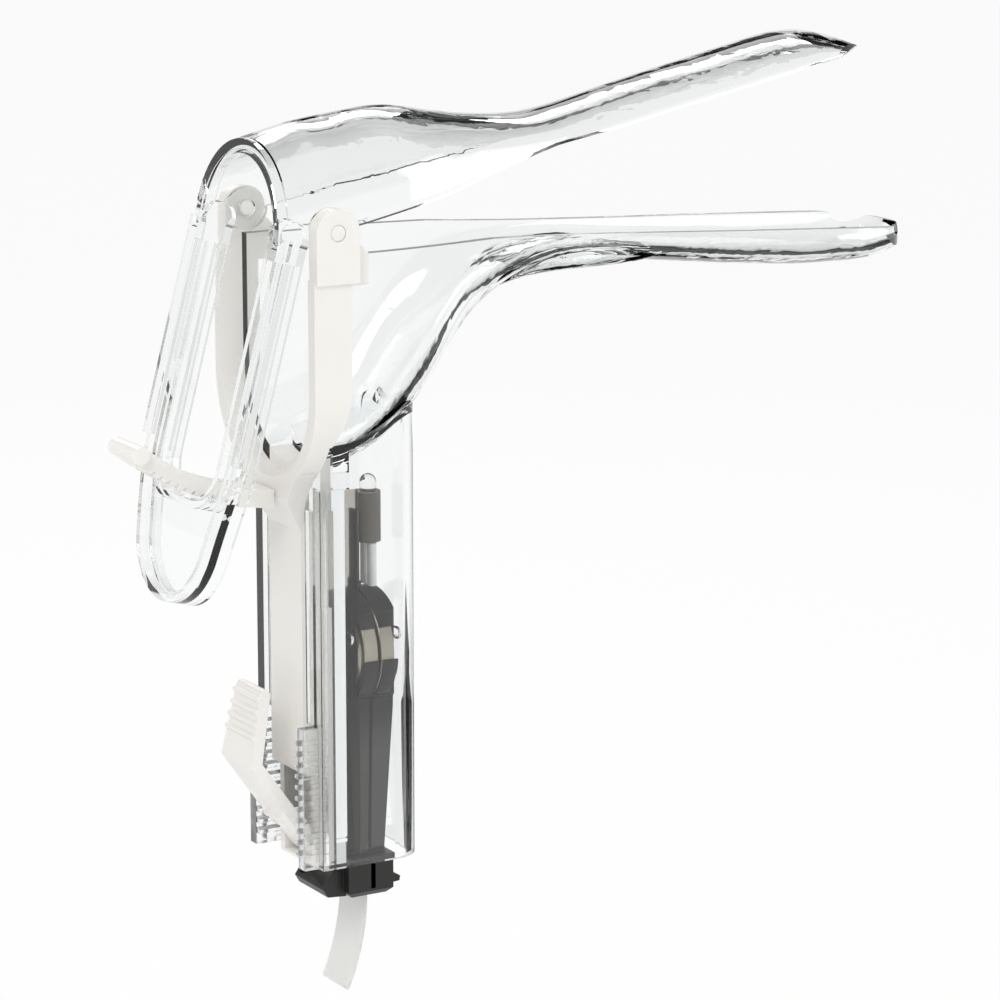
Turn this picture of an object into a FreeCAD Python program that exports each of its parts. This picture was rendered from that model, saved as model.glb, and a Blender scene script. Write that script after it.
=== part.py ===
import FreeCAD, Part
import math
import os

# Bivalve speculum, single-use clear type, with a sliding yoke and a plug-in light.
# Origin: middle of the blade hinge axis. +X runs forward along the blades, +Z up the handle, +Y to the side.
# All sizes in millimetres.

# Hinge and blades
OPEN_ANGLE = 16.0
HINGE_PIN_R = 1.45
HINGE_RUNNING_GAP = 0.05
HOOD_R = 16.0
BLADE_WALL = 1.8
HOOD_BEAD = 0.7
KNUCKLE_R = 3.9
BLADE_LENGTH = 126.4
UPPER_LENGTH = 119.6
LOWER_TIP = (15.0, 13.5)
UPPER_TIP = (20.0, 13.0)
BOWL_SHARE = 0.94
STATION_STEP = 6.0
TIP_BOWL = 1.5

# Trough of the lower blade
TROUGH_CENTRE_Z = -28.0
TROUGH_REAR_X = -0.3
TROUGH_SLOPE_X = 34.0
RIM_Z = -4.4
RIM_DROOP = 5.2

# Handle
HANDLE_HALF_WIDTH = 12.2
HANDLE_REAR_X = -0.2
HANDLE_FRONT_X = 20.5
HANDLE_TOP_Z = -30.0
HANDLE_BOTTOM_Z = -113.7
HANDLE_WALL = 1.45
HANDLE_CORNER_R = 6.0
PARTITION_X = 4.4
PARTITION_WALL = 1.5
RAIL_WALL = 1.5
FAIRING_HALF_WIDTH = 9.0
FAIRING_EDGE_R = 4.0

# Sliding column of the yoke
COLUMN_HALF_WIDTH = 6.0
COLUMN_REAR_X = -0.8
COLUMN_FRONT_X = PARTITION_X - 0.5
COLUMN_WALL = 1.5
COLUMN_GAP = 0.3
TONGUE_HALF_WIDTH = COLUMN_HALF_WIDTH + 1.2
TONGUE_REAR_X = 2.3
TONGUE_TOP_Z = -67.5
COLUMN_REAR_END_Z = -97.5
COLUMN_END_Z = HANDLE_BOTTOM_Z - 0.9
YOKE_TRAVEL = 17.0

# Yoke around the trough
YOKE_INNER_R = HOOD_R + 0.4
YOKE_THICKNESS = 2.4
YOKE_RIM_REAR_X = -4.4
YOKE_RIM_FRONT_X = -0.5
EAR_R = 4.1
EAR_BOTTOM_Z = -8.7
EAR_PAD = 0.5
FLANGE_FRONT_X = 2.7
FLANGE_END_Z = -38.0
LUG_FRONT_X = 6.6

# Lever of the upper blade
LEVER_LEAN = 15.1
LEVER_PLANE_X = -6.0
LEVER_DEPTH = 5.2
LEVER_WEB = 1.5
LEVER_HALF_WIDTH = HOOD_R
LEVER_ARM = 4.4
LEVER_RIM = 1.25
LEVER_WINDOW_BOTTOM = 50.1
LEVER_STRAIGHT = 46.0
LEVER_LENGTH = 68.5
PADDLE_SHOULDER = 12.6
LEVER_BARREL_R = 2.9
LEVER_WING = 2.1
LEVER_WING_END = 42.0

# Toothed strap for the blade angle
STRAP_THICKNESS = 3.2
STRAP_HALF_WIDTH = 3.8
STRAP_GAP = 0.3
STRAP_START = 5.7
STRAP_END = 39.0
STRAP_TOOTH_PITCH = 2.0
STRAP_TOOTH_DEPTH = 0.9

# Ladder and latch for the blade spacing
LADDER_PITCH = 2.0
LADDER_TOP_Z = -91.0
LADDER_BOTTOM_Z = HANDLE_BOTTOM_Z + 1.2
CHEEK_TOP_Z = -88.2
CHEEK_REAR_X = -3.0
LADDER_FRONT_X = 1.8
CHEEK_OUTER = 10.4
LADDER_VALLEY = 8.1
LADDER_CREST = 6.9
PAWL_GAP = 0.2
LATCH_ROOT = (COLUMN_FRONT_X - 0.9, COLUMN_END_Z + 1.6)
LATCH_ROOT_R = 0.8
LATCH_BEND = (-9.8, -94.8)
LATCH_TOP = (-7.4, -82.6)
LATCH_THICKNESS = 2.0
LATCH_NECK_THICKNESS = 1.6
LATCH_TAB_HALF_WIDTH = 4.3
LATCH_GRIPS = 4
LATCH_GRIP_PITCH = 2.2
LATCH_GRIP_R = 0.55

# Light cartridge
TAB_PLANE_X = 12.2
TAB_THICKNESS = 0.35
TAB_HALF_WIDTH = 4.8
TAB_TOP_Z = -70.0
CELL_R = 10.0
CELL_THICKNESS = 3.2
CELL_Z = -77.0
CELL_GAP = 0.1
CUP_RIM = 0.5
CARRIER_SKIN = 0.9
CARRIER_HALF_WIDTH = 7.4
CARRIER_TAIL_HALF_WIDTH = 5.6
CAP_X = (7.3, 16.3)
CAP_HALF_WIDTH = 7.5
CAP_TOP_Z = HANDLE_BOTTOM_Z - 0.2
CAP_BOTTOM_Z = CAP_TOP_Z - 7.6
CAP_WING_X = (3.2, 19.8)
CAP_WING_HALF_WIDTH = 5.5
CAP_WING_Z = (CAP_TOP_Z - 2.1, CAP_TOP_Z - 5.7)
CAP_SCOOP_R = 2.2
TAB_EXIT_Z = CAP_BOTTOM_Z + 0.1
TAB_END = (TAB_PLANE_X - 3.8, TAB_EXIT_Z - 17.8)
LED_R = 1.5
LED_X = 15.4
LED_Z = (-58.3, -49.3)
LED_DOME_Z = -46.2
LEG_R = 0.3
LEG_SPACING = 2.54
LEG_TAIL = 0.2
SLEEVE_R = 0.85
SLEEVE_Z = (-66.2, -58.5)
CONTACT_THICKNESS = 0.4
CONTACT_HALF_WIDTH = 2.0

Y_AXIS = FreeCAD.Vector(0, 1, 0)


def vec(x, y, z):
    return FreeCAD.Vector(x, y, z)


def box(x0, x1, y0, y1, z0, z1):
    return Part.makeBox(x1 - x0, y1 - y0, z1 - z0, vec(x0, y0, z0))


def both_sides(shape):
    """A shape together with its mirror copy across the middle plane."""
    return [shape, shape.mirror(vec(0, 0, 0), Y_AXIS)]


def line(a, b):
    return Part.LineSegment(a, b).toShape()


def arc(a, b, c):
    return Part.Arc(a, b, c).toShape()


def side_plate(points, half_width, y_centre=0.0):
    """A plate whose outline lies in the side view, as (x, z) corners."""
    corners = [vec(x, y_centre - half_width, z) for x, z in points]
    face = Part.Face(Part.makePolygon(corners + corners[:1]))
    return face.extrude(vec(0, 2.0 * half_width, 0))


def cylinder_y(radius, y0, y1, x=0.0, z=0.0):
    return Part.makeCylinder(radius, y1 - y0, vec(x, y0, z), Y_AXIS)


def rotated(shape, degrees, x=0.0, z=0.0):
    """Turned about the Y line through (x, z); positive lifts what lies forward of it."""
    turned = shape.copy()
    turned.rotate(vec(x, 0, z), vec(0, -1, 0), degrees)
    return turned


def curve_through(points):
    spline = Part.BSplineCurve()
    spline.interpolate(points)
    return spline


def half_circle_poles(unit):
    """Control points of a unit half-circle in the YZ plane, turned so that it hangs below its ends."""
    poles = unit.getPoles()
    across = poles[0]
    middle = unit.value(0.5 * (unit.FirstParameter + unit.LastParameter))
    down = vec(0, 0, 0) - middle
    return [vec(0, -pole.dot(across), pole.dot(down)) for pole in poles]


def trough_section(x, half_width, floor_z, top_z, bowl):
    """Open-topped bowl outline at one station: two walls and half an ellipse."""
    centre_z = floor_z + bowl
    right_bottom = vec(x, half_width, centre_z)
    left_bottom = vec(x, -half_width, centre_z)
    unit = Part.ArcOfCircle(Part.Circle(vec(0, 0, 0), vec(1, 0, 0), 1.0), 0.0, math.pi).toBSpline()
    poles = [vec(x, half_width * pole.y, centre_z + bowl * pole.z) for pole in half_circle_poles(unit)]
    low = Part.BSplineCurve()
    low.buildFromPolesMultsKnots(poles, unit.getMultiplicities(), unit.getKnots(), False, unit.Degree,
                                 unit.getWeights())
    low = low.toShape()
    right_top = vec(x, half_width, top_z)
    left_top = vec(x, -half_width, top_z)
    edges = [low, line(right_bottom, right_top), line(right_top, left_top), line(left_top, left_bottom)]
    return Part.Wire(Part.__sortEdges__(edges))


def rim_z(x):
    """Height of the lower blade's rim, which droops along the blade."""
    if x < TROUGH_SLOPE_X:
        return RIM_Z
    return RIM_Z - RIM_DROOP * (x - TROUGH_SLOPE_X) / (BLADE_LENGTH - TROUGH_SLOPE_X)


# Stations of the lower blade: distance along it, half-width and floor height.
LOWER_STATIONS = (
    (TROUGH_REAR_X, HOOD_R, TROUGH_CENTRE_Z - HOOD_R), (8.0, HOOD_R, -42.9), (15.0, 15.7, -39.6),
    (22.0, 15.0, -32.8), (30.0, 13.8, -22.6), (38.0, 12.4, -15.9), (47.0, 11.3, -12.0),
    (56.0, 10.9, -11.0), (72.0, 11.2, -12.8), (90.0, 12.1, -14.9), (107.0, 12.3, -16.3),
    (117.0, 12.3, -16.4), (123.0, 12.3, -14.0), (130.0, 12.3, -8.9))

# Stations of the upper blade when closed: distance along it, half-width and roof height.
UPPER_STATIONS = (
    (-14.0, HOOD_R, HOOD_R), (0.0, HOOD_R, 15.8), (10.0, HOOD_R, 14.9), (18.0, 15.6, 13.6),
    (24.0, 14.6, 12.3), (31.0, 12.8, 8.9), (38.0, 11.2, 5.8), (46.0, 10.1, 2.9),
    (55.0, 9.6, 1.0), (74.0, 9.8, -0.1), (90.0, 10.6, -1.3), (106.0, 11.3, -2.7),
    (110.5, 11.4, -4.0), (114.5, 11.4, -6.6), (123.0, 11.4, -14.0))

# Lower edge of the upper blade when closed, seen from the side.
UPPER_EDGE = (
    (-10.4, 0.4), (7.0, -1.3), (26.0, -2.8), (50.0, -3.4), (64.0, -4.9), (94.0, -6.9), (124.0, -8.7))


def smooth(stations, x, column):
    """Value and slope at x of a curve through the stations that never swings past them."""
    xs = [row[0] for row in stations]
    ys = [row[column] for row in stations]
    chords = [(y1 - y0) / (x1 - x0) for x0, x1, y0, y1 in zip(xs, xs[1:], ys, ys[1:])]
    slopes = [chords[0]]
    for before, after in zip(chords, chords[1:]):
        slopes.append(0.0 if before * after <= 0.0 else 2.0 * before * after / (before + after))
    slopes.append(chords[-1])
    index = max(i for i in range(len(chords)) if xs[i] <= x or i == 0)
    span = xs[index + 1] - xs[index]
    t = (x - xs[index]) / span
    m0 = slopes[index] * span
    m1 = slopes[index + 1] * span
    y0 = ys[index]
    y1 = ys[index + 1]
    value = (2 * t ** 3 - 3 * t ** 2 + 1) * y0 + (t ** 3 - 2 * t ** 2 + t) * m0
    value += (3 * t ** 2 - 2 * t ** 3) * y1 + (t ** 3 - t ** 2) * m1
    rise = (6 * t ** 2 - 6 * t) * (y0 - y1) + (3 * t ** 2 - 4 * t + 1) * m0 + (3 * t ** 2 - 2 * t) * m1
    return value, rise / span


def evenly_spaced(stations):
    start = stations[0][0]
    length = stations[-1][0] - start
    count = int(round(length / STATION_STEP))
    return [start + length * i / count for i in range(count + 1)]


def lower_loft(inset):
    sections = []
    for x in evenly_spaced(LOWER_STATIONS):
        half_width = smooth(LOWER_STATIONS, x, 1)[0]
        floor, slope = smooth(LOWER_STATIONS, x, 2)
        floor += inset * math.hypot(1.0, slope)
        wide = half_width - inset
        bowl = max(TIP_BOWL, min(wide, BOWL_SHARE * (rim_z(x) - floor)))
        top = max(rim_z(x) + 3.0, floor + bowl + 1.0)
        sections.append(trough_section(x, wide, floor, top, bowl))
    return Part.makeLoft(sections, True, False)


def upper_loft(inset):
    sections = []
    for x in evenly_spaced(UPPER_STATIONS):
        half_width = smooth(UPPER_STATIONS, x, 1)[0]
        roof, slope = smooth(UPPER_STATIONS, x, 2)
        roof -= inset * math.hypot(1.0, slope)
        wide = half_width - inset
        edge = -1.0 - 0.064 * max(x, 0.0)
        bowl = max(TIP_BOWL, min(wide, BOWL_SHARE * (roof - edge)))
        sections.append(trough_section(x, wide, -roof, 20.0, bowl))
    return Part.makeLoft(sections, True, False).mirror(vec(0, 0, 0), vec(0, 0, 1))


def tip_trim(length, tip, height, z_centre):
    """Everything ahead of the rounded blade end, in plan; tip holds the half-axes of its ellipse."""
    long_axis, wide = tip
    start_x = length - long_axis
    block = box(start_x, length + 20.0, -20.0, 20.0, z_centre - height, z_centre + height)
    ellipse = Part.Ellipse(vec(start_x, 0, z_centre - height), long_axis, wide)
    disc = Part.Face(Part.Wire([ellipse.toShape()])).extrude(vec(0, 0, 2.0 * height))
    return block.cut(disc)


def handle_block(half_width, rear_x, front_x, corner_r, z0, z1):
    """Handle outline seen from above: square at the rear, rounded at the front."""
    round_x = front_x - corner_r
    round_y = half_width - corner_r
    d = corner_r * math.sqrt(0.5)
    p = [vec(rear_x, -half_width, z0), vec(round_x, -half_width, z0), vec(front_x, -round_y, z0),
         vec(front_x, round_y, z0), vec(round_x, half_width, z0), vec(rear_x, half_width, z0)]
    edges = [line(p[0], p[1]), arc(p[1], vec(round_x + d, -round_y - d, z0), p[2]), line(p[2], p[3]),
             arc(p[3], vec(round_x + d, round_y + d, z0), p[4]), line(p[4], p[5]), line(p[5], p[0])]
    return Part.Face(Part.Wire(edges)).extrude(vec(0, 0, z1 - z0))


def fairing(inset):
    """Curved web that carries the front of the handle into the underside of the blade."""
    half_width = FAIRING_HALF_WIDTH - inset
    y0 = -half_width
    low = curve_through([
        vec(HANDLE_FRONT_X - 0.2 - inset, y0, -40.0), vec(22.3 - inset, y0, -30.0),
        vec(28.0 - inset, y0, -20.6 + inset), vec(38.5, y0, -14.3 + inset),
        vec(52.0, y0, -12.5 + inset), vec(70.0, y0, -11.9 + inset)]).toShape()
    start = low.valueAt(low.FirstParameter)
    end = low.valueAt(low.LastParameter)
    bottom = vec(start.x, y0, -50.0)
    back = [end, vec(70.0, y0, -9.0), vec(45.0, y0, -9.0), vec(10.0, y0, -25.0),
            vec(10.0, y0, -50.0), bottom, start]
    corners = [line(a, b) for a, b in zip(back, back[1:])]
    solid = Part.Face(Part.Wire([low] + corners)).extrude(vec(0, 2.0 * half_width, 0))
    if inset > 0.0:
        return solid
    rounded = [e for e in solid.Edges if abs(abs(e.CenterOfMass.y) - half_width) < 0.01
               and e.Curve.TypeId == "Part::GeomBSplineCurve"]
    return solid.makeFillet(FAIRING_EDGE_R, rounded)


def ladder_cheek():
    """One rear cheek of the handle with its ladder of ridges on the inner face."""
    pieces = [box(CHEEK_REAR_X, HANDLE_REAR_X + 1.5, LADDER_VALLEY, CHEEK_OUTER, HANDLE_BOTTOM_Z,
                  CHEEK_TOP_Z)]
    ridge_z = LADDER_TOP_Z
    while ridge_z > LADDER_BOTTOM_Z:
        half = 0.28 * LADDER_PITCH
        section = [vec(CHEEK_REAR_X, LADDER_VALLEY + 0.2, ridge_z + half),
                   vec(CHEEK_REAR_X, LADDER_CREST, ridge_z + 0.3 * half),
                   vec(CHEEK_REAR_X, LADDER_CREST, ridge_z - half),
                   vec(CHEEK_REAR_X, LADDER_VALLEY + 0.2, ridge_z - half)]
        face = Part.Face(Part.makePolygon(section + section[:1]))
        pieces.append(face.extrude(vec(LADDER_FRONT_X - CHEEK_REAR_X, 0, 0)))
        ridge_z -= LADDER_PITCH
    return pieces[0].fuse(pieces[1:])


def make_lower_blade():
    """Clear moulding: trough, blade, curved web and hollow handle with the yoke's channel."""
    trough = lower_loft(0.0)
    bore = lower_loft(BLADE_WALL)
    inner_r = HOOD_R - BLADE_WALL
    bore = bore.fuse(box(TROUGH_REAR_X - 5.0, TROUGH_REAR_X + 0.05, -inner_r, inner_r, TROUGH_CENTRE_Z, 5.0))
    handle = handle_block(HANDLE_HALF_WIDTH, HANDLE_REAR_X, HANDLE_FRONT_X, HANDLE_CORNER_R,
                          HANDLE_BOTTOM_Z, HANDLE_TOP_Z)
    bay_x = PARTITION_X + PARTITION_WALL
    bay = handle_block(HANDLE_HALF_WIDTH - HANDLE_WALL, bay_x, HANDLE_FRONT_X - HANDLE_WALL,
                       HANDLE_CORNER_R - HANDLE_WALL, HANDLE_BOTTOM_Z - 1.0, HANDLE_TOP_Z)
    slot_half = COLUMN_HALF_WIDTH + COLUMN_GAP
    tongue_half = TONGUE_HALF_WIDTH + COLUMN_GAP
    pocket_y = tongue_half + RAIL_WALL
    pockets = both_sides(box(HANDLE_REAR_X + RAIL_WALL, bay_x + 0.1, pocket_y,
                             HANDLE_HALF_WIDTH - HANDLE_WALL, HANDLE_BOTTOM_Z - 1.0, -46.0))
    slot_front = COLUMN_FRONT_X + COLUMN_GAP
    slot = box(-6.0, slot_front, -slot_half, slot_half, HANDLE_BOTTOM_Z - 1.0, HANDLE_TOP_Z)
    tongue_slot = box(TONGUE_REAR_X - COLUMN_GAP, slot_front, -tongue_half, tongue_half,
                      HANDLE_BOTTOM_Z - 1.0, TONGUE_TOP_Z + YOKE_TRAVEL + COLUMN_GAP)
    outer = trough.fuse([handle, fairing(0.0)])
    inner_web = fairing(HANDLE_WALL).cut(trough)
    inner_bay = bay.cut(trough)
    body = outer.cut([bore, inner_web, inner_bay] + pockets)
    cheeks = both_sides(ladder_cheek())
    ladder_room = box(-1.0, LADDER_FRONT_X + 0.1, -LADDER_VALLEY, LADDER_VALLEY, HANDLE_BOTTOM_Z - 1.0,
                      CHEEK_TOP_Z)
    body = body.cut(ladder_room).fuse(cheeks).cut([slot, tongue_slot])
    rim = side_plate([(-8.0, RIM_Z), (TROUGH_SLOPE_X, RIM_Z), (BLADE_LENGTH + 9.0,
                                                               rim_z(BLADE_LENGTH + 9.0)),
                      (BLADE_LENGTH + 9.0, 12.0), (-8.0, 12.0)], 20.0)
    body = body.cut([rim, tip_trim(BLADE_LENGTH, LOWER_TIP, 30.0, -15.0)])
    return body


def lever_outline():
    """Lever outline seen from behind, as a face at x = 0 in the lever's own frame."""
    w = LEVER_HALF_WIDTH
    p = [vec(0, -w, -1.5), vec(0, -w, -LEVER_STRAIGHT), vec(0, -PADDLE_SHOULDER, -LEVER_LENGTH + 9.0),
         vec(0, 0, -LEVER_LENGTH), vec(0, PADDLE_SHOULDER, -LEVER_LENGTH + 9.0),
         vec(0, w, -LEVER_STRAIGHT), vec(0, w, -1.5)]
    outer = [line(p[0], p[1]), line(p[1], p[2]), arc(p[2], p[3], p[4]), line(p[4], p[5]), line(p[5], p[6]),
             line(p[6], p[0])]
    i = LEVER_HALF_WIDTH - LEVER_ARM
    flat = STRAP_HALF_WIDTH + 0.8
    r = i - flat
    z1 = -LEVER_WINDOW_BOTTOM + r
    d = r * math.sqrt(0.5)
    q = [vec(0, -i, 2.0), vec(0, -i, z1), vec(0, -flat, z1 - r), vec(0, flat, z1 - r),
         vec(0, i, z1), vec(0, i, 2.0)]
    window = [line(q[0], q[1]), arc(q[1], vec(0, -flat - d, z1 - d), q[2]), line(q[2], q[3]),
              arc(q[3], vec(0, flat + d, z1 - d), q[4]), line(q[4], q[5]), line(q[5], q[0])]
    return Part.Face(Part.Wire(outer)).cut(Part.Face(Part.Wire(window)))


def lever_band(rear, front):
    """Side view of the lever between two offsets from its middle plane; the tip curls forward."""
    x = LEVER_PLANE_X

    def side(offset):
        top = vec(x + offset, -25.0, 3.0)
        knee = vec(x + offset, -25.0, -LEVER_STRAIGHT)
        mid = vec(x + offset + 0.35, -25.0, -LEVER_STRAIGHT - 12.0)
        tip = vec(x + offset + 1.4, -25.0, -LEVER_LENGTH - 1.5)
        return top, knee, mid, tip
    a = side(-rear)
    b = side(front)
    edges = [line(a[0], a[1]), arc(a[1], a[2], a[3]), line(a[3], b[3]), arc(b[3], b[2], b[1]),
             line(b[1], b[0]), line(b[0], a[0])]
    return Part.Face(Part.Wire(edges)).extrude(vec(0, 50.0, 0))


def make_lever():
    outline = lever_outline()
    prism = outline.Faces[0].extrude(vec(30.0, 0, 0))
    prism.translate(vec(-20.0, 0, 0))
    inner = outline.Faces[0].makeOffset2D(-LEVER_RIM)
    pocket = inner.Faces[0].extrude(vec(30.0, 0, 0))
    pocket.translate(vec(-20.0, 0, 0))
    half = 0.5 * LEVER_DEPTH
    web = 0.5 * LEVER_WEB
    top_stop = box(-30.0, 30.0, -30.0, 30.0, -LEVER_LENGTH, -7.0)
    groove = pocket.common(lever_band(half + 1.0, -web).fuse(lever_band(-web, half + 1.0))).common(top_stop)
    body = prism.common(lever_band(half, half)).cut(groove)
    barrel = cylinder_y(LEVER_BARREL_R, LEVER_HALF_WIDTH - LEVER_ARM, LEVER_HALF_WIDTH, LEVER_PLANE_X, -2.6)
    rear_x = LEVER_PLANE_X - half
    wing = box(rear_x, rear_x + LEVER_RIM, LEVER_HALF_WIDTH - 0.5, LEVER_HALF_WIDTH + LEVER_WING,
               -LEVER_WING_END, -3.0)
    return body.fuse(both_sides(barrel) + both_sides(wing))


def make_upper_blade():
    """Clear moulding: hood, blade and thumb lever; made closed, then opened about the hinge."""
    outer = upper_loft(0.0)
    inner = upper_loft(BLADE_WALL)
    edge = list(UPPER_EDGE)
    below = side_plate([(-20.0, 0.4)] + edge + [(124.0, -40.0), (-20.0, -40.0)], 20.0)
    hood_rear = side_plate([(-10.0, 0.4), (-3.8, 15.2), (-2.0, 19.5), (-30.0, 19.5), (-30.0, 0.4)], 20.0)
    bead_slab = side_plate([(-10.5, -2.0), (-2.0, 19.5), (0.3, 19.5), (-8.3, -2.0)], 20.0)
    port = upper_loft(BLADE_WALL + HOOD_BEAD)
    shell = outer.cut(inner.cut(bead_slab)).cut(port)
    shell = shell.cut([below, hood_rear, tip_trim(UPPER_LENGTH, UPPER_TIP, 30.0, 0.0)])
    knuckles = both_sides(cylinder_y(KNUCKLE_R, HOOD_R - BLADE_WALL, HOOD_R))
    blade = shell.fuse(knuckles)
    blade = rotated(blade, OPEN_ANGLE)
    lever = rotated(make_lever(), -LEVER_LEAN)
    body = blade.fuse(lever)
    pins = cylinder_y(HINGE_PIN_R + HINGE_RUNNING_GAP, -20.0, 20.0)
    return body.cut(pins)


def yoke_rim():
    """U-shaped band behind the trough; its legs deepen into flanges along the trough's walls."""
    outer_r = YOKE_INNER_R + YOKE_THICKNESS
    rim = []
    for radius in (outer_r, YOKE_INNER_R):
        x = YOKE_RIM_REAR_X
        a = vec(x, -radius, 0)
        b = vec(x, -radius, TROUGH_CENTRE_Z)
        c = vec(x, 0, TROUGH_CENTRE_Z - radius)
        d = vec(x, radius, TROUGH_CENTRE_Z)
        e = vec(x, radius, 0)
        wire = Part.Wire([line(a, b), arc(b, c, d), line(d, e), line(e, a)])
        rim.append(Part.Face(wire).extrude(vec(FLANGE_FRONT_X - x, 0, 0)))
    y0 = -30.0
    p = [vec(FLANGE_FRONT_X + 5.0, y0, TROUGH_CENTRE_Z + 3.0), vec(FLANGE_FRONT_X, y0,
                                                                   TROUGH_CENTRE_Z + 3.0),
         vec(FLANGE_FRONT_X - 0.9, y0, TROUGH_CENTRE_Z - 4.5), vec(YOKE_RIM_FRONT_X, y0, FLANGE_END_Z),
         vec(YOKE_RIM_FRONT_X, y0, -60.0), vec(FLANGE_FRONT_X + 5.0, y0, -60.0)]
    edges = [line(p[0], p[1]), arc(p[1], p[2], p[3]), line(p[3], p[4]), line(p[4], p[5]), line(p[5], p[0])]
    ahead = Part.Face(Part.Wire(edges)).extrude(vec(0, -2.0 * y0, 0))
    wall_room = box(YOKE_RIM_FRONT_X, FLANGE_FRONT_X + 1.0, -YOKE_INNER_R, YOKE_INNER_R, -60.0,
                    TROUGH_CENTRE_Z)
    return rim[0].cut([rim[1], ahead, wall_room])


def yoke_side():
    """One ear with the lug that runs along the trough's wall."""
    y0 = YOKE_INNER_R
    thick = YOKE_THICKNESS
    ear = cylinder_y(EAR_R, y0, y0 + thick + EAR_PAD)
    pad = box(-EAR_R, EAR_R, y0, y0 + thick + EAR_PAD, EAR_BOTTOM_Z, 0.0)
    lug = side_plate([(0.0, -1.0), (EAR_R, -1.5), (LUG_FRONT_X, -4.0), (LUG_FRONT_X, EAR_BOTTOM_Z - 0.7),
                      (0.0, EAR_BOTTOM_Z - 0.7)], 0.25 * thick, y0 + 0.25 * thick)
    below_trough = Part.makeCylinder(YOKE_INNER_R, 20.0, vec(YOKE_RIM_FRONT_X - 0.01, 0, TROUGH_CENTRE_Z),
                                     vec(1, 0, 0))
    side = ear.fuse([pad, lug])
    square_corner = box(-8.0, -EAR_R, y0, y0 + 4.0, -4.0, 2.0)
    return side.cut([below_trough, square_corner])


def yoke_column():
    """Channel-section column with side tongues, which slides in the handle."""
    w = COLUMN_HALF_WIDTH
    top = TROUGH_CENTRE_Z - 10.0
    column = box(COLUMN_REAR_X, COLUMN_FRONT_X, -w, w, COLUMN_END_Z, top)
    channel = box(COLUMN_REAR_X + COLUMN_WALL, COLUMN_FRONT_X + 1.0, -w + COLUMN_WALL, w - COLUMN_WALL,
                  COLUMN_END_Z + 0.6, -52.0)
    rear_end = box(COLUMN_REAR_X - 1.0, COLUMN_REAR_X + COLUMN_WALL + 0.1, -w - 1.0, w + 1.0,
                   COLUMN_END_Z - 1.0, COLUMN_REAR_END_Z)
    tongues = both_sides(box(TONGUE_REAR_X, COLUMN_FRONT_X, w - 0.5, TONGUE_HALF_WIDTH,
                             HANDLE_BOTTOM_Z + 0.2, TONGUE_TOP_Z))
    inside = Part.makeCylinder(HOOD_R - BLADE_WALL, 10.0, vec(YOKE_RIM_FRONT_X, 0, TROUGH_CENTRE_Z),
                               vec(1, 0, 0))
    port = Part.makeCylinder(YOKE_INNER_R, 10.0, vec(YOKE_RIM_FRONT_X - 10.0, 0, TROUGH_CENTRE_Z), vec(1,
                                                                                                       0, 0))
    return column.fuse(tongues).cut([channel, rear_end, inside, port])


def yoke_gusset():
    """Rounded cup that gathers the rim into the column."""
    r = YOKE_INNER_R + YOKE_THICKNESS
    x0 = YOKE_RIM_REAR_X
    x1 = YOKE_RIM_FRONT_X
    z0 = TROUGH_CENTRE_Z - r
    half = COLUMN_HALF_WIDTH
    a = vec(x0, -12.5, z0 + 4.6)
    b = vec(x0, -half - 1.6, z0 - 1.4)
    c = vec(x0, -half, z0 - 7.0)
    edges = [arc(a, b, c), line(c, vec(x0, half, c.z)),
             arc(vec(x0, half, c.z), vec(x0, -b.y, b.z), vec(x0, -a.y, a.z)), line(vec(x0, -a.y, a.z), a)]
    cup = Part.Face(Part.Wire(edges)).extrude(vec(x1 - x0, 0, 0))
    port = Part.makeCylinder(YOKE_INNER_R, 20.0, vec(-10.0, 0, TROUGH_CENTRE_Z), vec(1, 0, 0))
    slope = side_plate([(x0 - 1.0, z0 + 1.0), (COLUMN_REAR_X, c.z), (COLUMN_REAR_X, c.z - 5.0),
                        (x0 - 1.0, c.z - 5.0)], 20.0)
    return cup.cut([port, slope])


def make_yoke():
    """White moulding: two ears, the U-shaped rim and the sliding column."""
    body = yoke_rim().cut(box(-10.0, 10.0, -30.0, 30.0, -8.0, 10.0))
    sides = both_sides(yoke_side())
    body = body.fuse(sides + [yoke_gusset(), yoke_column()])
    return body.cut(cylinder_y(HINGE_PIN_R, -25.0, 25.0))


def make_hinge_pins():
    y1 = YOKE_INNER_R + YOKE_THICKNESS + EAR_PAD
    pin = cylinder_y(HINGE_PIN_R, HOOD_R - BLADE_WALL + 0.1, y1)
    head = Part.makeTorus(HINGE_PIN_R - 0.35, 0.18, vec(0, y1, 0), Y_AXIS)
    right = pin.cut(head)
    return right, right.mirror(vec(0, 0, 0), Y_AXIS)


def polar(radius, degrees, y=0.0):
    """Point on an arc about the hinge; the angle runs rearward from straight down."""
    a = math.radians(degrees)
    return vec(-radius * math.sin(a), y, -radius * math.cos(a))


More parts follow.
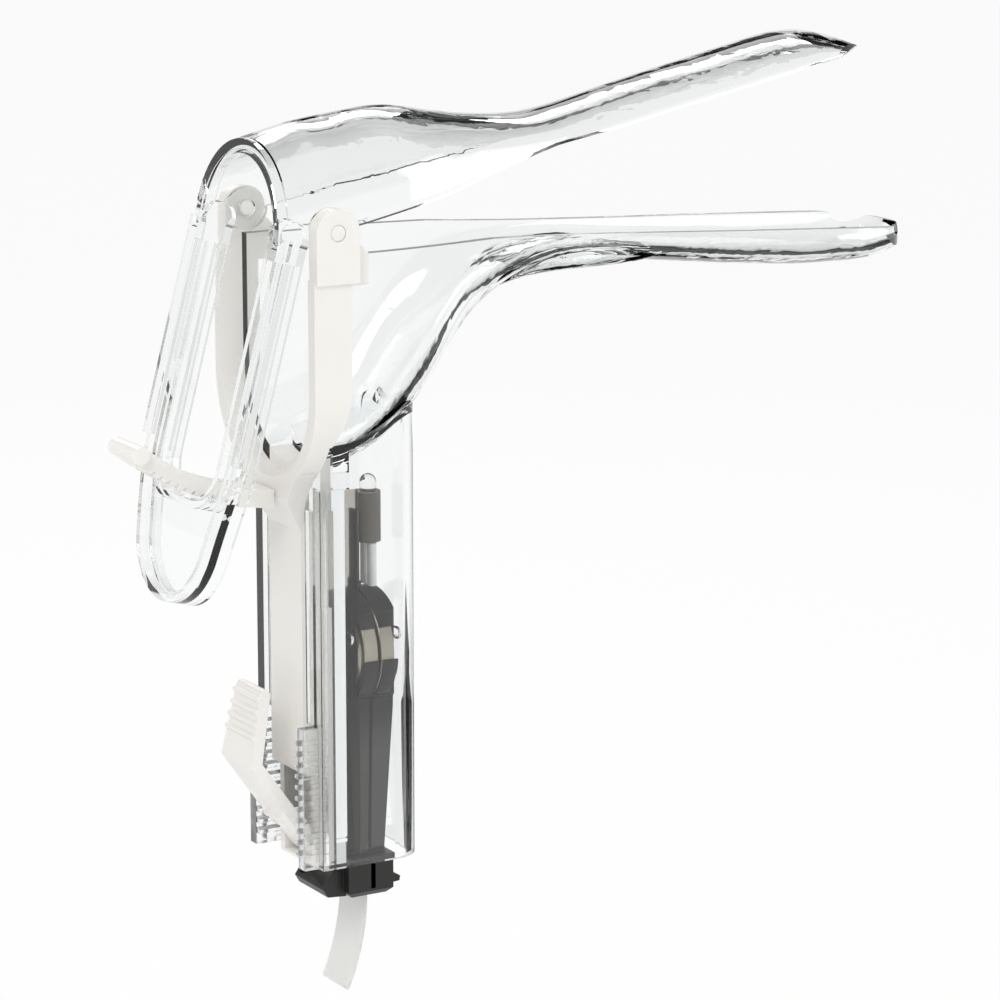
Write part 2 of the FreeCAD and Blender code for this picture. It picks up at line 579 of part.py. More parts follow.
def make_angle_strap():
    """Curved strap through the lever's window, toothed on its underside."""
    outer = LEVER_WINDOW_BOTTOM - STRAP_GAP
    inner = outer - STRAP_THICKNESS
    w = STRAP_HALF_WIDTH
    middle = 0.5 * (STRAP_START + STRAP_END)
    a = [polar(outer, t, -w) for t in (STRAP_START, middle, STRAP_END)]
    b = [polar(inner, t, -w) for t in (STRAP_START, middle, STRAP_END)]
    face = Part.Face(Part.Wire([arc(*a), line(a[2], b[2]), arc(b[2], b[1], b[0]), line(b[0], a[0])]))
    strap = face.extrude(vec(0, 2.0 * w, 0))
    notches = []
    angle = STRAP_START + 6.0
    while angle < STRAP_END - 4.0:
        root = outer - STRAP_TOOTH_DEPTH
        tooth = [polar(outer + 0.5, angle - 0.15, -w), polar(outer + 0.5,
                                                             angle + STRAP_TOOTH_PITCH - 0.5, -w),
                 polar(root, angle + 0.1, -w)]
        cut = Part.Face(Part.makePolygon(tooth + tooth[:1])).extrude(vec(0, 2.0 * w, 0))
        notches.append(cut)
        angle += STRAP_TOOTH_PITCH
    rail_r = inner + 1.1
    c = [polar(rail_r, t, -w + 1.1) for t in (STRAP_START + 6.0, middle, STRAP_END - 3.0)]
    d = [polar(inner - 1.0, t, -w + 1.1) for t in (STRAP_START + 6.0, middle, STRAP_END - 3.0)]
    pocket = Part.Face(Part.Wire([arc(*c), line(c[2], d[2]), arc(d[2], d[1], d[0]), line(d[0], c[0])]))
    hollow = pocket.extrude(vec(0, 2.0 * w - 2.2, 0))
    bar = polar(inner + 0.5 * STRAP_THICKNESS, STRAP_END)
    end_bar = cylinder_y(0.5 * STRAP_THICKNESS, -w - 1.2, w + 1.2, bar.x, bar.z)
    return strap.cut(notches + [hollow]).fuse(end_bar)


def latch_path_plate(points, thickness, half_width):
    """A strip that follows a bent line in the side view, with rounded joints."""
    pieces = []
    r = 0.5 * thickness
    for (x0, z0), (x1, z1) in zip(points, points[1:]):
        length = math.hypot(x1 - x0, z1 - z0)
        nx = -(z1 - z0) / length * r
        nz = (x1 - x0) / length * r
        pieces.append(side_plate([(x0 + nx, z0 + nz), (x1 + nx, z1 + nz), (x1 - nx, z1 - nz),
                                  (x0 - nx, z0 - nz)], half_width))
    for x, z in points[1:]:
        pieces.append(cylinder_y(r, -half_width, half_width, x, z))
    return pieces[0].fuse(pieces[1:])


def make_height_latch():
    """Press lever whose pawls stand at the handle's ladders."""
    root_half = COLUMN_HALF_WIDTH - COLUMN_WALL - 0.25
    rx, rz = LATCH_ROOT
    bx, bz = LATCH_BEND
    share = 0.24
    split = (rx + share * (bx - rx), rz + share * (bz - rz))
    neck = latch_path_plate([LATCH_ROOT, split], LATCH_NECK_THICKNESS, root_half)
    root = cylinder_y(LATCH_ROOT_R, -root_half, root_half, rx, rz)
    arm = latch_path_plate([split, LATCH_BEND, LATCH_TOP], LATCH_THICKNESS, COLUMN_HALF_WIDTH)
    arm = arm.cut(box(COLUMN_REAR_X + 0.7, 10.0, -20.0, 20.0, -130.0, -80.0))
    link = latch_path_plate([split, (-1.6, rz + (rx + 1.6) / (rx - bx) * (bz - rz))], 1.8, root_half)
    pawl_half = LADDER_CREST - PAWL_GAP
    px = -1.4
    pz = rz + (rx - px) / (rx - bx) * (bz - rz)
    pawl = side_plate([(px - 0.9, pz + 0.2), (px + 0.9, pz + 0.6), (px + 0.9, pz - 1.0), (px - 0.9,
                                                                                          pz - 1.0)],
                      pawl_half)
    grips = []
    tx, tz = LATCH_TOP
    for index in range(LATCH_GRIPS):
        z = tz - 0.6 - index * LATCH_GRIP_PITCH
        x = tx + (tz - z) / (tz - bz) * (bx - tx) - 0.5 * LATCH_THICKNESS
        grips.append(cylinder_y(LATCH_GRIP_R, -COLUMN_HALF_WIDTH, COLUMN_HALF_WIDTH, x, z))
    body = root.fuse([neck, link, arm, pawl] + grips)
    w = COLUMN_HALF_WIDTH
    taper = [vec(-30.0, w, bz - 1.0), vec(-30.0, LATCH_TAB_HALF_WIDTH, tz + 3.0), vec(-30.0, w + 4.0,
                                                                                      tz + 3.0),
             vec(-30.0, w + 4.0, bz - 1.0)]
    trim = Part.Face(Part.makePolygon(taper + taper[:1])).extrude(vec(60.0, 0, 0))
    return body.cut(both_sides(trim))


def make_cartridge_cap():
    """Dark cap that plugs the handle's bottom, with two finger wings and a slit for the tab."""
    x0, x1 = CAP_X
    w = CAP_HALF_WIDTH
    block = box(x0, x1, -w, w, CAP_BOTTOM_Z, CAP_TOP_Z)
    low_edges = [e for e in block.Edges if abs(e.CenterOfMass.z - CAP_BOTTOM_Z) < 0.01]
    block = block.makeChamfer(1.0, low_edges)
    top, low = CAP_WING_Z
    rear_x, front_x = CAP_WING_X
    rear = side_plate([(x0 + 0.5, top), (rear_x + 2.2, top - 0.4), (rear_x, low), (rear_x + 0.9, low - 1.5),
                       (x0 + 0.5, CAP_BOTTOM_Z + 0.1)], CAP_WING_HALF_WIDTH)
    front = side_plate([(x1 - 0.5, low + 1.6), (front_x, low - 0.4), (front_x - 0.2, low - 1.3),
                        (x1 - 0.5, low - 1.6)], CAP_WING_HALF_WIDTH - 1.8)
    scoop = cylinder_y(CAP_SCOOP_R, -CAP_WING_HALF_WIDTH + 1.0, CAP_WING_HALF_WIDTH - 1.0,
                       rear_x + 0.3, low + CAP_SCOOP_R + 0.6)
    neck = box(x0 + 1.0, x1 - 1.0, -CARRIER_TAIL_HALF_WIDTH, CARRIER_TAIL_HALF_WIDTH, CAP_TOP_Z - 0.5,
               CAP_TOP_Z + 0.8)
    slit = box(TAB_PLANE_X - TAB_THICKNESS, TAB_PLANE_X + TAB_THICKNESS, -TAB_HALF_WIDTH - 0.4,
               TAB_HALF_WIDTH + 0.4, CAP_BOTTOM_Z - 1.0, CAP_TOP_Z + 2.0)
    notch = box(TAB_PLANE_X - 0.4, TAB_PLANE_X + 0.4, -w - 1.0, -w + 0.6, CAP_BOTTOM_Z + 1.5,
                CAP_TOP_Z - 1.5)
    return block.fuse([rear, front, neck]).cut([slit, notch, scoop])


def carrier(direction):
    """Half of the cell holder: a round cup for the cell, a tapering tail and a tongue to the lamp."""
    inner = TAB_PLANE_X + direction * (0.5 * TAB_THICKNESS + CELL_GAP)
    cell_face = inner + direction * (CELL_THICKNESS + CELL_GAP)
    skin = cell_face + direction * CARRIER_SKIN
    x_low, x_high = sorted((inner, skin))
    cup = Part.makeCylinder(CELL_R + CUP_RIM, x_high - x_low, vec(x_low, 0, CELL_Z), vec(1, 0, 0))
    cup = cup.common(box(0.0, 30.0, -CARRIER_HALF_WIDTH, CARRIER_HALF_WIDTH, -130.0, -50.0))
    w0 = CARRIER_HALF_WIDTH - 0.6
    w1 = CARRIER_TAIL_HALF_WIDTH
    bottom = CAP_TOP_Z + 0.8
    outline = [vec(x_low, -w0, CELL_Z), vec(x_low, w0, CELL_Z), vec(x_low, w1, bottom), vec(x_low, -w1,
                                                                                            bottom)]
    tail = Part.Face(Part.makePolygon(outline + outline[:1])).extrude(vec(x_high - x_low, 0, 0))
    taper_x = TAB_PLANE_X + direction * 6.0
    end_x = TAB_PLANE_X + direction * 3.0
    taper = side_plate([(taper_x, CELL_Z - CELL_R), (taper_x, bottom - 1.0), (end_x, bottom - 1.0),
                        (skin, CELL_Z - CELL_R)], 20.0)
    cell_room = Part.makeCylinder(CELL_R + CELL_GAP, 30.0, vec(0, 0, CELL_Z), vec(1, 0, 0))
    room_low, room_high = sorted((inner - direction, cell_face))
    room = cell_room.common(box(room_low, room_high, -20.0, 20.0, -100.0, -50.0))
    hook_room = box(min(skin, cell_face) - 0.1, max(skin, cell_face) + 0.1, -CONTACT_HALF_WIDTH - 0.3,
                    CONTACT_HALF_WIDTH + 0.3, CELL_Z + 0.5, CELL_Z + 7.5)
    body = cup.fuse(tail).cut([room, taper, hook_room])
    return body, cell_face, skin


def make_batteries():
    """Two button cells on either side of the pull tab, each with its stepped cap."""
    cells = []
    for direction in (1, -1):
        start = TAB_PLANE_X + direction * (0.5 * TAB_THICKNESS + CELL_GAP)
        axis = vec(direction, 0, 0)
        can = Part.makeCylinder(CELL_R, CELL_THICKNESS - 0.5, vec(start, 0, CELL_Z), axis)
        step = start + direction * (CELL_THICKNESS - 0.5)
        cap = Part.makeCylinder(CELL_R - 1.6, 0.5, vec(step, 0, CELL_Z), axis)
        cells.append(can.fuse(cap))
    return cells


def make_contact(direction, skin):
    """Bright spring clip hooked over the holder's window."""
    s = direction
    t = CONTACT_THICKNESS
    x0 = skin + s * 0.05
    z = CELL_Z
    points = [(x0 - s * 0.7, z + 2.6), (x0 - s * 0.1, z + 1.4), (x0 + s * 0.35, z + 2.6),
              (x0 + s * 0.35, z + 6.4), (x0 - s * 0.2, z + 7.0)]
    return latch_path_plate(points, t, CONTACT_HALF_WIDTH).fuse(
        cylinder_y(0.5 * t, -CONTACT_HALF_WIDTH, CONTACT_HALF_WIDTH, points[0][0], points[0][1]))


def make_led():
    """Lamp holder, clear lens and its two legs with white sleeves."""
    z0, z1 = LED_Z
    holder = Part.makeCylinder(LED_R + 0.75, z1 - z0, vec(LED_X, 0, z0), vec(0, 0, 1))
    bore = Part.makeCylinder(LED_R, z1 - z0 - 2.0, vec(LED_X, 0, z0 + 2.0), vec(0, 0, 1))
    leg_holes = []
    legs = []
    sleeves = []
    low, high = SLEEVE_Z
    up = vec(0, 0, 1)
    for side in (-1, 1):
        y = side * 0.5 * LEG_SPACING
        leg_holes.append(Part.makeCylinder(LEG_R, 2.2, vec(LED_X, y, z0 - 0.1), up))
        legs.append(Part.makeCylinder(LEG_R, z0 + 2.0 - low + LEG_TAIL, vec(LED_X, y, low - LEG_TAIL), up))
        sleeve = Part.makeCylinder(SLEEVE_R, high - low, vec(LED_X, y, low), up)
        sleeves.append(sleeve.cut(legs[-1]))
    holder = holder.cut([bore] + leg_holes)
    stem = Part.makeCylinder(LED_R, LED_DOME_Z - LED_R - z0 - 2.0, vec(LED_X, 0, z0 + 2.0), vec(0, 0, 1))
    dome = Part.makeSphere(LED_R, vec(LED_X, 0, LED_DOME_Z - LED_R))
    return holder, stem.fuse(dome), legs, sleeves


def make_pull_tab():
    """Film strip between the cells that hangs out of the cap and curls rearward."""
    x = TAB_PLANE_X
    t = 0.5 * TAB_THICKNESS
    end_x, end_z = TAB_END
    w = TAB_HALF_WIDTH
    y0 = -w

    def side(offset):
        return [vec(x + offset, y0, TAB_TOP_Z), vec(x + offset, y0, TAB_EXIT_Z),
                vec(0.72 * x + 0.28 * end_x + offset, y0, 0.45 * TAB_EXIT_Z + 0.55 * end_z),
                vec(end_x + offset, y0, end_z + 0.3 * offset)]
    a = side(-t)
    b = side(t)
    edges = [line(a[0], a[1]), arc(a[1], a[2], a[3]), line(a[3], b[3]), arc(b[3], b[2], b[1]),
             line(b[1], b[0]), line(b[0], a[0])]
    return Part.Face(Part.Wire(edges)).extrude(vec(0, 2.0 * w, 0))


def build():
    nodes = {}
    nodes["lower_blade"] = make_lower_blade()
    nodes["upper_blade"] = make_upper_blade()
    nodes["yoke"] = make_yoke()
    nodes["hinge_pin_far"], nodes["hinge_pin_near"] = make_hinge_pins()
    nodes["angle_strap"] = make_angle_strap()
    nodes["height_latch"] = make_height_latch()
    nodes["cartridge_cap"] = make_cartridge_cap()
    for name, direction in (("front", 1), ("rear", -1)):
        body, cell_face, skin = carrier(direction)
        nodes["carrier_" + name] = body
        nodes["contact_" + name] = make_contact(direction, skin)
    nodes["battery_front"], nodes["battery_rear"] = make_batteries()
    holder, lens, legs, sleeves = make_led()
    nodes["led_holder"] = holder
    nodes["led_lens"] = lens
    nodes["led_leg_near"], nodes["led_leg_far"] = legs
    nodes["leg_sleeve_near"], nodes["leg_sleeve_far"] = sleeves
    nodes["pull_tab"] = make_pull_tab()
    return nodes


os.makedirs("parts", exist_ok=True)
for node, shape in build().items():
    shape.exportStep("parts/" + node + ".step")
    bounds = shape.BoundBox
    print(node, "solids", len(shape.Solids), "valid", shape.isValid(), "volume", round(shape.Volume, 1),
          [round(v, 1) for v in (bounds.XMin, bounds.XMax, bounds.YMin, bounds.YMax, bounds.ZMin,
                                 bounds.ZMax)])
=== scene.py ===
"""Clear bivalve speculum with a white sliding yoke and a plug-in light, on a pale floor."""

import math

import bmesh
import bpy
from mathutils import Matrix, Vector


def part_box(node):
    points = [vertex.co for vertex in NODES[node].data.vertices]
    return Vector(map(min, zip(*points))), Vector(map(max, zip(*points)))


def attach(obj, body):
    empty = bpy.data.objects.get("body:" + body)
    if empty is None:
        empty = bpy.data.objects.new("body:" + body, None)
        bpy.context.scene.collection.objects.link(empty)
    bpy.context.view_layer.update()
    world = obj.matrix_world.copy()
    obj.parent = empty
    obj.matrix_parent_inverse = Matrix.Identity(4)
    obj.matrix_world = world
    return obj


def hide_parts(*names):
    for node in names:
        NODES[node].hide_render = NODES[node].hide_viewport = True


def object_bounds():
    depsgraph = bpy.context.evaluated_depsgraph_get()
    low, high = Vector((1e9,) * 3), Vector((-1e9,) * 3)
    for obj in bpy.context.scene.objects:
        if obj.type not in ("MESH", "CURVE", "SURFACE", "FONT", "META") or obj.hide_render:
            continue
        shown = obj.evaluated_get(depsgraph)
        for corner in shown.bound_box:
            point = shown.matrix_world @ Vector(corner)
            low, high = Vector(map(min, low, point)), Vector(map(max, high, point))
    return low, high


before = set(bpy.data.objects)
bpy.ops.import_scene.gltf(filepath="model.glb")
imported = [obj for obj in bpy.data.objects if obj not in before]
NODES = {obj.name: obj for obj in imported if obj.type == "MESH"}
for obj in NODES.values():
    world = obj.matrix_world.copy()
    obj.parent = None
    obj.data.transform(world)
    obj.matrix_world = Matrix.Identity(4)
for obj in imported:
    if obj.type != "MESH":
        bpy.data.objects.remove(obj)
CAD_BOX = [list(corner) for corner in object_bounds()]

bl_info = {
    "name": "Clear Speculum",
    "version": (1, 0, 0),
    "blender": (4, 5, 0),
    "location": "View3D > Sidebar > Speculum",
    "description": "Dresses the speculum's parts and sets up its photo studio",
    "category": "Object",
}

MM = 0.001
HINGE_PINS = ("hinge_pin_far", "hinge_pin_near")

# Limits of the ladders on the lower blade's moulding, which lie behind and below them: axis, place, softness
LADDER_FRONT = ("X", 0.0019, 0.0004)
LADDER_TOP = ("Z", -0.0876, 0.0008)

# Heights between which the holder's tails turn paler
TAIL_FADE = (-0.086, -0.096)

# Corners nearer than SAME_PLACE are joined, and facets that differ less than FLAT_FACETS become one face.
# Steeper angles are edges: for the shading, for the bevels on CAD nodes, and for those on the scene's pieces.
SAME_PLACE = 2e-6
FLAT_FACETS = math.radians(0.35)
SHARP_EDGE = math.radians(32.0)
CAD_CORNER = math.radians(28.0)
PIECE_CORNER = math.radians(40.0)

# The studio's lamps: name, place, aim, size, power in watts and colour
LAMPS = (("Key lamp", (-0.75, -0.55, 0.85), (0.02, 0.0, -0.03), (0.55, 0.55), 5.0, (1.0, 0.99, 0.97)),
         ("Side lamp", (0.8, -0.7, 0.35), (0.02, 0.0, -0.05), (0.5, 0.8), 2.6, (0.97, 0.985, 1.0)),
         ("Back lamp", (0.3, 0.95, 0.6), (0.02, 0.0, -0.03), (0.8, 0.5), 2.6, (1.0, 1.0, 1.0)))
FLOOR_RADIUS = 9.0
FLOOR_GLOW = 0.86

# Upward part of a direction where the dark ceiling starts and where it is full
CEILING = (0.28, 0.42)


# Settings

class ClearPlasticSettings(bpy.types.PropertyGroup):
    tint: bpy.props.FloatVectorProperty(
        name="Tint", description="Colour of the clear moulding", subtype="COLOR", size=3,
        min=0.0, max=1.0, default=(0.975, 0.985, 0.985))
    polish: bpy.props.FloatProperty(
        name="Polish", description="Mean roughness of the moulded face", subtype="FACTOR",
        min=0.0, max=1.0, default=0.012)
    refraction: bpy.props.FloatProperty(
        name="Refraction", description="Index of refraction of the clear plastic",
        min=1.0, max=2.0, default=1.49)
    frost: bpy.props.FloatProperty(
        name="Ladder frost", description="Extra roughness on the ladder ridges", subtype="FACTOR",
        min=0.0, max=1.0, default=0.22)


class WhitePlasticSettings(bpy.types.PropertyGroup):
    colour: bpy.props.FloatVectorProperty(
        name="Colour", description="Colour of the white mouldings", subtype="COLOR", size=3,
        min=0.0, max=1.0, default=(0.875, 0.86, 0.83))
    shade: bpy.props.FloatVectorProperty(
        name="Shade", description="Second colour of the faint mottle", subtype="COLOR", size=3,
        min=0.0, max=1.0, default=(0.84, 0.823, 0.79))


class LightModuleSettings(bpy.types.PropertyGroup):
    carrier: bpy.props.FloatVectorProperty(
        name="Carrier", description="Colour of the dark cell holder", subtype="COLOR", size=3,
        min=0.0, max=1.0, default=(0.006, 0.0058, 0.0052))
    tail: bpy.props.FloatVectorProperty(
        name="Tails", description="Colour of the holder's thin tails", subtype="COLOR", size=3,
        min=0.0, max=1.0, default=(0.062, 0.063, 0.06))
    cap: bpy.props.FloatVectorProperty(
        name="Cap", description="Colour of the black end cap", subtype="COLOR", size=3,
        min=0.0, max=1.0, default=(0.009, 0.0086, 0.008))
    # Painted shade: colour of the smoky film that darkens the cartridge's rear where the clear handle shows
    # it dark
    wrap: bpy.props.FloatVectorProperty(
        name="Shade film", description="Colour of the smoky film round the cartridge", subtype="COLOR", size=3,
        min=0.0, max=1.0, default=(0.5, 0.47, 0.43))
    cup_gap: bpy.props.FloatProperty(
        name="Cup gap", description="Free gap between a cell and its cup", subtype="DISTANCE",
        unit="LENGTH", min=0.0, max=0.0003, default=0.00006)
    cup_wall: bpy.props.FloatProperty(
        name="Cup wall", description="Thickness of the cups' side walls", subtype="DISTANCE",
        unit="LENGTH", min=0.0001, max=0.0005, default=0.00034)
    clip_wire: bpy.props.FloatProperty(
        name="Clip wire radius", description="Radius of the bright clip wires", subtype="DISTANCE",
        unit="LENGTH", min=0.0001, max=0.0005, default=0.00027)
    die: bpy.props.FloatVectorProperty(
        name="Lamp chip", description="Colour of the chip in the lamp", subtype="COLOR", size=3,
        min=0.0, max=1.0, default=(0.75, 0.6, 0.16))


class StudioSettings(bpy.types.PropertyGroup):
    distance: bpy.props.FloatProperty(
        name="Camera distance", description="Distance of the camera from its aim", subtype="DISTANCE",
        unit="LENGTH", min=0.1, max=5.0, default=0.70959)
    heading: bpy.props.FloatProperty(
        name="Camera heading", description="Angle of the view from straight at the near side",
        subtype="ANGLE", default=math.radians(30.449))
    tilt: bpy.props.FloatProperty(
        name="Camera tilt", description="Angle of the view below the horizon", subtype="ANGLE",
        default=math.radians(12.626))
    height: bpy.props.FloatProperty(
        name="Camera height", description="Height of the camera above the hinge", subtype="DISTANCE",
        unit="LENGTH", default=0.104697)
    aim_x: bpy.props.FloatProperty(
        name="Camera aim", description="Where the view line crosses the middle plane", subtype="DISTANCE",
        unit="LENGTH", default=0.042699)
    lens: bpy.props.FloatProperty(
        name="Lens", description="Focal length in millimetres on a 36 mm sensor", min=10.0, max=400.0,
        default=145.81)
    zenith: bpy.props.FloatProperty(
        name="Dark ceiling", description="Brightness that glass and gloss see overhead", subtype="FACTOR",
        min=0.0, max=1.0, default=0.03)
    flag: bpy.props.FloatVectorProperty(
        name="Dark flags", description="Colour of the flags that darken the clear edges", subtype="COLOR",
        size=3, min=0.0, max=1.0, default=(0.02, 0.02, 0.02))
    under_reach: bpy.props.FloatVectorProperty(
        name="Rear flag reach", description="Near and far distance from the camera of the rear flag",
        unit="LENGTH", size=2, default=(0.72, 0.88))
    under_sides: bpy.props.FloatVectorProperty(
        name="Rear flag sides", description="Left and right limits of the rear flag from the view line",
        unit="ROTATION", size=2, default=(math.radians(1.0), math.radians(6.5)))
    side_reach: bpy.props.FloatVectorProperty(
        name="Side flag reach", description="Near and far distance from the camera of the side flag",
        unit="LENGTH", size=2, default=(0.74, 0.90))
    side_sides: bpy.props.FloatVectorProperty(
        name="Side flag sides", description="Left and right limits of the side flag from the view line",
        unit="ROTATION", size=2, default=(math.radians(6.5), math.radians(15.0)))
    floor_drop: bpy.props.FloatProperty(
        name="Floor drop", description="Free height under the part, so that the cartridge can slide out",
        subtype="DISTANCE", unit="LENGTH", min=0.0, max=0.5, default=0.135)
    top_reach: bpy.props.FloatProperty(
        name="Upper flag reach", description="Distance of the upright flag from the camera",
        subtype="DISTANCE", unit="LENGTH", default=1.05)
    top_half: bpy.props.FloatProperty(
        name="Upper flag half angle", description="Half of the upright flag's width as seen by the camera",
        subtype="ANGLE", default=math.radians(4.24))
    top_feet: bpy.props.FloatVectorProperty(
        name="Upper flag feet", description="Heights of the upright flag's left and right foot",
        unit="LENGTH", size=2, default=(0.0631, 0.0926))
    top_tall: bpy.props.FloatProperty(
        name="Upper flag depth", description="Height of the upright flag above its feet",
        subtype="DISTANCE", unit="LENGTH", default=0.0734)
    fill: bpy.props.FloatProperty(
        name="Fill", description="Strength of the soft light from all round", min=0.0, max=3.0, default=0.74)


def shaded(colour, factor):
    """A colour made lighter or darker by a factor."""
    return tuple(value * factor for value in colour)


def node_box(name):
    """A CAD node's lowest and highest corner in millimetres."""
    return [Vector(corner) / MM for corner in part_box(name)]


# Node helpers

def feed(tree, socket, value):
    """Gives an input a plain value, or links another node's output to it."""
    if isinstance(value, bpy.types.NodeSocket):
        tree.links.new(value, socket)
    else:
        socket.default_value = value


def calc(tree, operation, *values):
    """One step of arithmetic on plain values and outputs."""
    node = tree.nodes.new("ShaderNodeMath")
    node.operation = operation
    for socket, value in zip(node.inputs, values):
        feed(tree, socket, value)
    return node.outputs[0]


def ramp(tree, value, start, end, first=0.0, last=1.0, kind="SMOOTHSTEP"):
    """A value that goes from first at start to last at end."""
    node = tree.nodes.new("ShaderNodeMapRange")
    node.interpolation_type = kind
    node.inputs["From Min"].default_value = start
    node.inputs["From Max"].default_value = end
    node.inputs["To Min"].default_value = first
    node.inputs["To Max"].default_value = last
    tree.links.new(value, node.inputs["Value"])
    return node.outputs["Result"]


def blend(tree, mask, first, second):
    """A colour between two others, by a mask."""
    node = tree.nodes.new("ShaderNodeMix")
    node.data_type = "RGBA"
    feed(tree, node.inputs["Factor"], mask)
    feed(tree, node.inputs["A"], first)
    feed(tree, node.inputs["B"], second)
    return node.outputs["Result"]


def object_place(tree):
    """The place on the part, in metres."""
    return tree.nodes.new("ShaderNodeTexCoord").outputs["Object"]


def split_axes(tree, vector):
    """The three values of a vector, by the name of their axis."""
    node = tree.nodes.new("ShaderNodeSeparateXYZ")
    tree.links.new(vector, node.inputs[0])
    return node.outputs


def noise(tree, place, scale, detail=3.0):
    """A cloudy value from 0 to 1 at each place."""
    node = tree.nodes.new("ShaderNodeTexNoise")
    node.inputs["Detail"].default_value = detail
    feed(tree, node.inputs["Scale"], scale)
    tree.links.new(place, node.inputs["Vector"])
    return node.outputs["Fac"]


def seen_rays(tree, path):
    """1 for rays from the camera, off gloss and through clear parts, 0 for all others."""
    direct = calc(tree, "MAXIMUM", path.outputs["Is Camera Ray"], path.outputs["Is Glossy Ray"])
    return calc(tree, "MAXIMUM", direct, path.outputs["Is Transmission Ray"])


def mix_shaders(tree, share, first, second, surface):
    """Puts a share of the second shader over the first on a surface."""
    mix = tree.nodes.new("ShaderNodeMixShader")
    tree.links.new(share, mix.inputs[0])
    tree.links.new(first.outputs[0], mix.inputs[1])
    tree.links.new(second.outputs[0], mix.inputs[2])
    tree.links.new(mix.outputs[0], surface)


# Shader groups

def new_group(name, inputs, outputs):
    """An empty shader node group with the sockets given as (name, kind, default)."""
    group = bpy.data.node_groups.new(name, "ShaderNodeTree")
    for label, kind, default in inputs:
        socket = group.interface.new_socket(name=label, in_out="INPUT", socket_type=kind)
        socket.default_value = default
    for label, kind in outputs:
        group.interface.new_socket(name=label, in_out="OUTPUT", socket_type=kind)
    return group, group.nodes.new("NodeGroupInput"), group.nodes.new("NodeGroupOutput")


def moulded_skin_group():
    """Uneven polish of a moulded face: a roughness value and a faint height."""
    name = "Moulded skin"
    if name in bpy.data.node_groups:
        return bpy.data.node_groups[name]
    group, start, end = new_group(
        name, [("Roughness", "NodeSocketFloat", 0.3), ("Spread", "NodeSocketFloat", 0.06),
               ("Scale", "NodeSocketFloat", 90.0)],
        [("Roughness", "NodeSocketFloat"), ("Height", "NodeSocketFloat")])
    place = object_place(group)
    broad = noise(group, place, start.outputs["Scale"])
    fine = noise(group, place, calc(group, "MULTIPLY", start.outputs["Scale"], 14.0), 2.0)
    centred = calc(group, "SUBTRACT", broad, 0.5)
    rough = calc(group, "MULTIPLY_ADD", centred, start.outputs["Spread"], start.outputs["Roughness"])
    group.links.new(rough, end.inputs["Roughness"])
    group.links.new(calc(group, "MULTIPLY_ADD", fine, 0.25, broad), end.inputs["Height"])
    return group


def mottle_group():
    """Faint cloudy change between two colours."""
    name = "Soft mottle"
    if name in bpy.data.node_groups:
        return bpy.data.node_groups[name]
    group, start, end = new_group(
        name, [("First", "NodeSocketColor", (0.8, 0.8, 0.8, 1.0)),
               ("Second", "NodeSocketColor", (0.7, 0.7, 0.7, 1.0)),
               ("Scale", "NodeSocketFloat", 60.0)], [("Color", "NodeSocketColor")])
    cloud = noise(group, object_place(group), start.outputs["Scale"], 4.0)
    mottle = blend(group, cloud, start.outputs["First"], start.outputs["Second"])
    group.links.new(mottle, end.inputs["Color"])
    return group


def drawn_metal_group():
    """Fine drawing lines along one axis: a mask, a roughness and a height."""
    name = "Drawn metal"
    if name in bpy.data.node_groups:
        return bpy.data.node_groups[name]
    group, start, end = new_group(
        name, [("Roughness", "NodeSocketFloat", 0.25), ("Stretch", "NodeSocketVector", (1.0, 1.0, 0.05))],
        [("Mask", "NodeSocketFloat"), ("Roughness", "NodeSocketFloat"), ("Height", "NodeSocketFloat")])
    place = object_place(group)
    stretch = group.nodes.new("ShaderNodeVectorMath")
    stretch.operation = "MULTIPLY"
    group.links.new(place, stretch.inputs[0])
    group.links.new(start.outputs["Stretch"], stretch.inputs[1])
    lines = noise(group, stretch.outputs[0], 2600.0, 4.0)
    rough = calc(group, "MULTIPLY_ADD", lines, 0.18, start.outputs["Roughness"])
    group.links.new(noise(group, place, 240.0), end.inputs["Mask"])
    group.links.new(rough, end.inputs["Roughness"])
    group.links.new(lines, end.inputs["Height"])
    return group


# Materials

def blank_material(name):
    """A new material with its tree and its main shader."""
    material = bpy.data.materials.new(name)
    material.use_nodes = True
    return material, material.node_tree, material.node_tree.nodes["Principled BSDF"]


def empty_material(name):
    """A new material with its tree, its surface's input and a glow that isn't linked yet."""
    material = bpy.data.materials.new(name)
    material.use_nodes = True
    tree = material.node_tree
    tree.nodes.clear()
    surface = tree.nodes.new("ShaderNodeOutputMaterial").inputs["Surface"]
    return material, tree, surface, tree.nodes.new("ShaderNodeEmission")


def add_group(tree, group, **values):
    """A shader group in a material, with its inputs' values."""
    node = tree.nodes.new("ShaderNodeGroup")
    node.node_tree = group
    for label, value in values.items():
        node.inputs[label].default_value = value
    return node


def add_bump(tree, shader, height, distance, strength=0.4):
    """Gives a shader a fine relief."""
    bump = tree.nodes.new("ShaderNodeBump")
    bump.inputs["Distance"].default_value = distance
    bump.inputs["Strength"].default_value = strength
    tree.links.new(height, bump.inputs["Height"])
    tree.links.new(bump.outputs["Normal"], shader.inputs["Normal"])


def mottled_material(name, first, second, roughness, spread, scale, bump):
    """A material with a colour that changes faintly, and the uneven polish of a moulded face."""
    material, tree, shader = blank_material(name)
    colour = add_group(tree, mottle_group(), First=(*first, 1.0), Second=(*second, 1.0), Scale=scale)
    skin = add_group(tree, moulded_skin_group(), Roughness=roughness, Spread=spread, Scale=scale)
    tree.links.new(colour.outputs["Color"], shader.inputs["Base Color"])
    tree.links.new(skin.outputs["Roughness"], shader.inputs["Roughness"])
    add_bump(tree, shader, skin.outputs["Height"], bump)
    return material, tree, shader


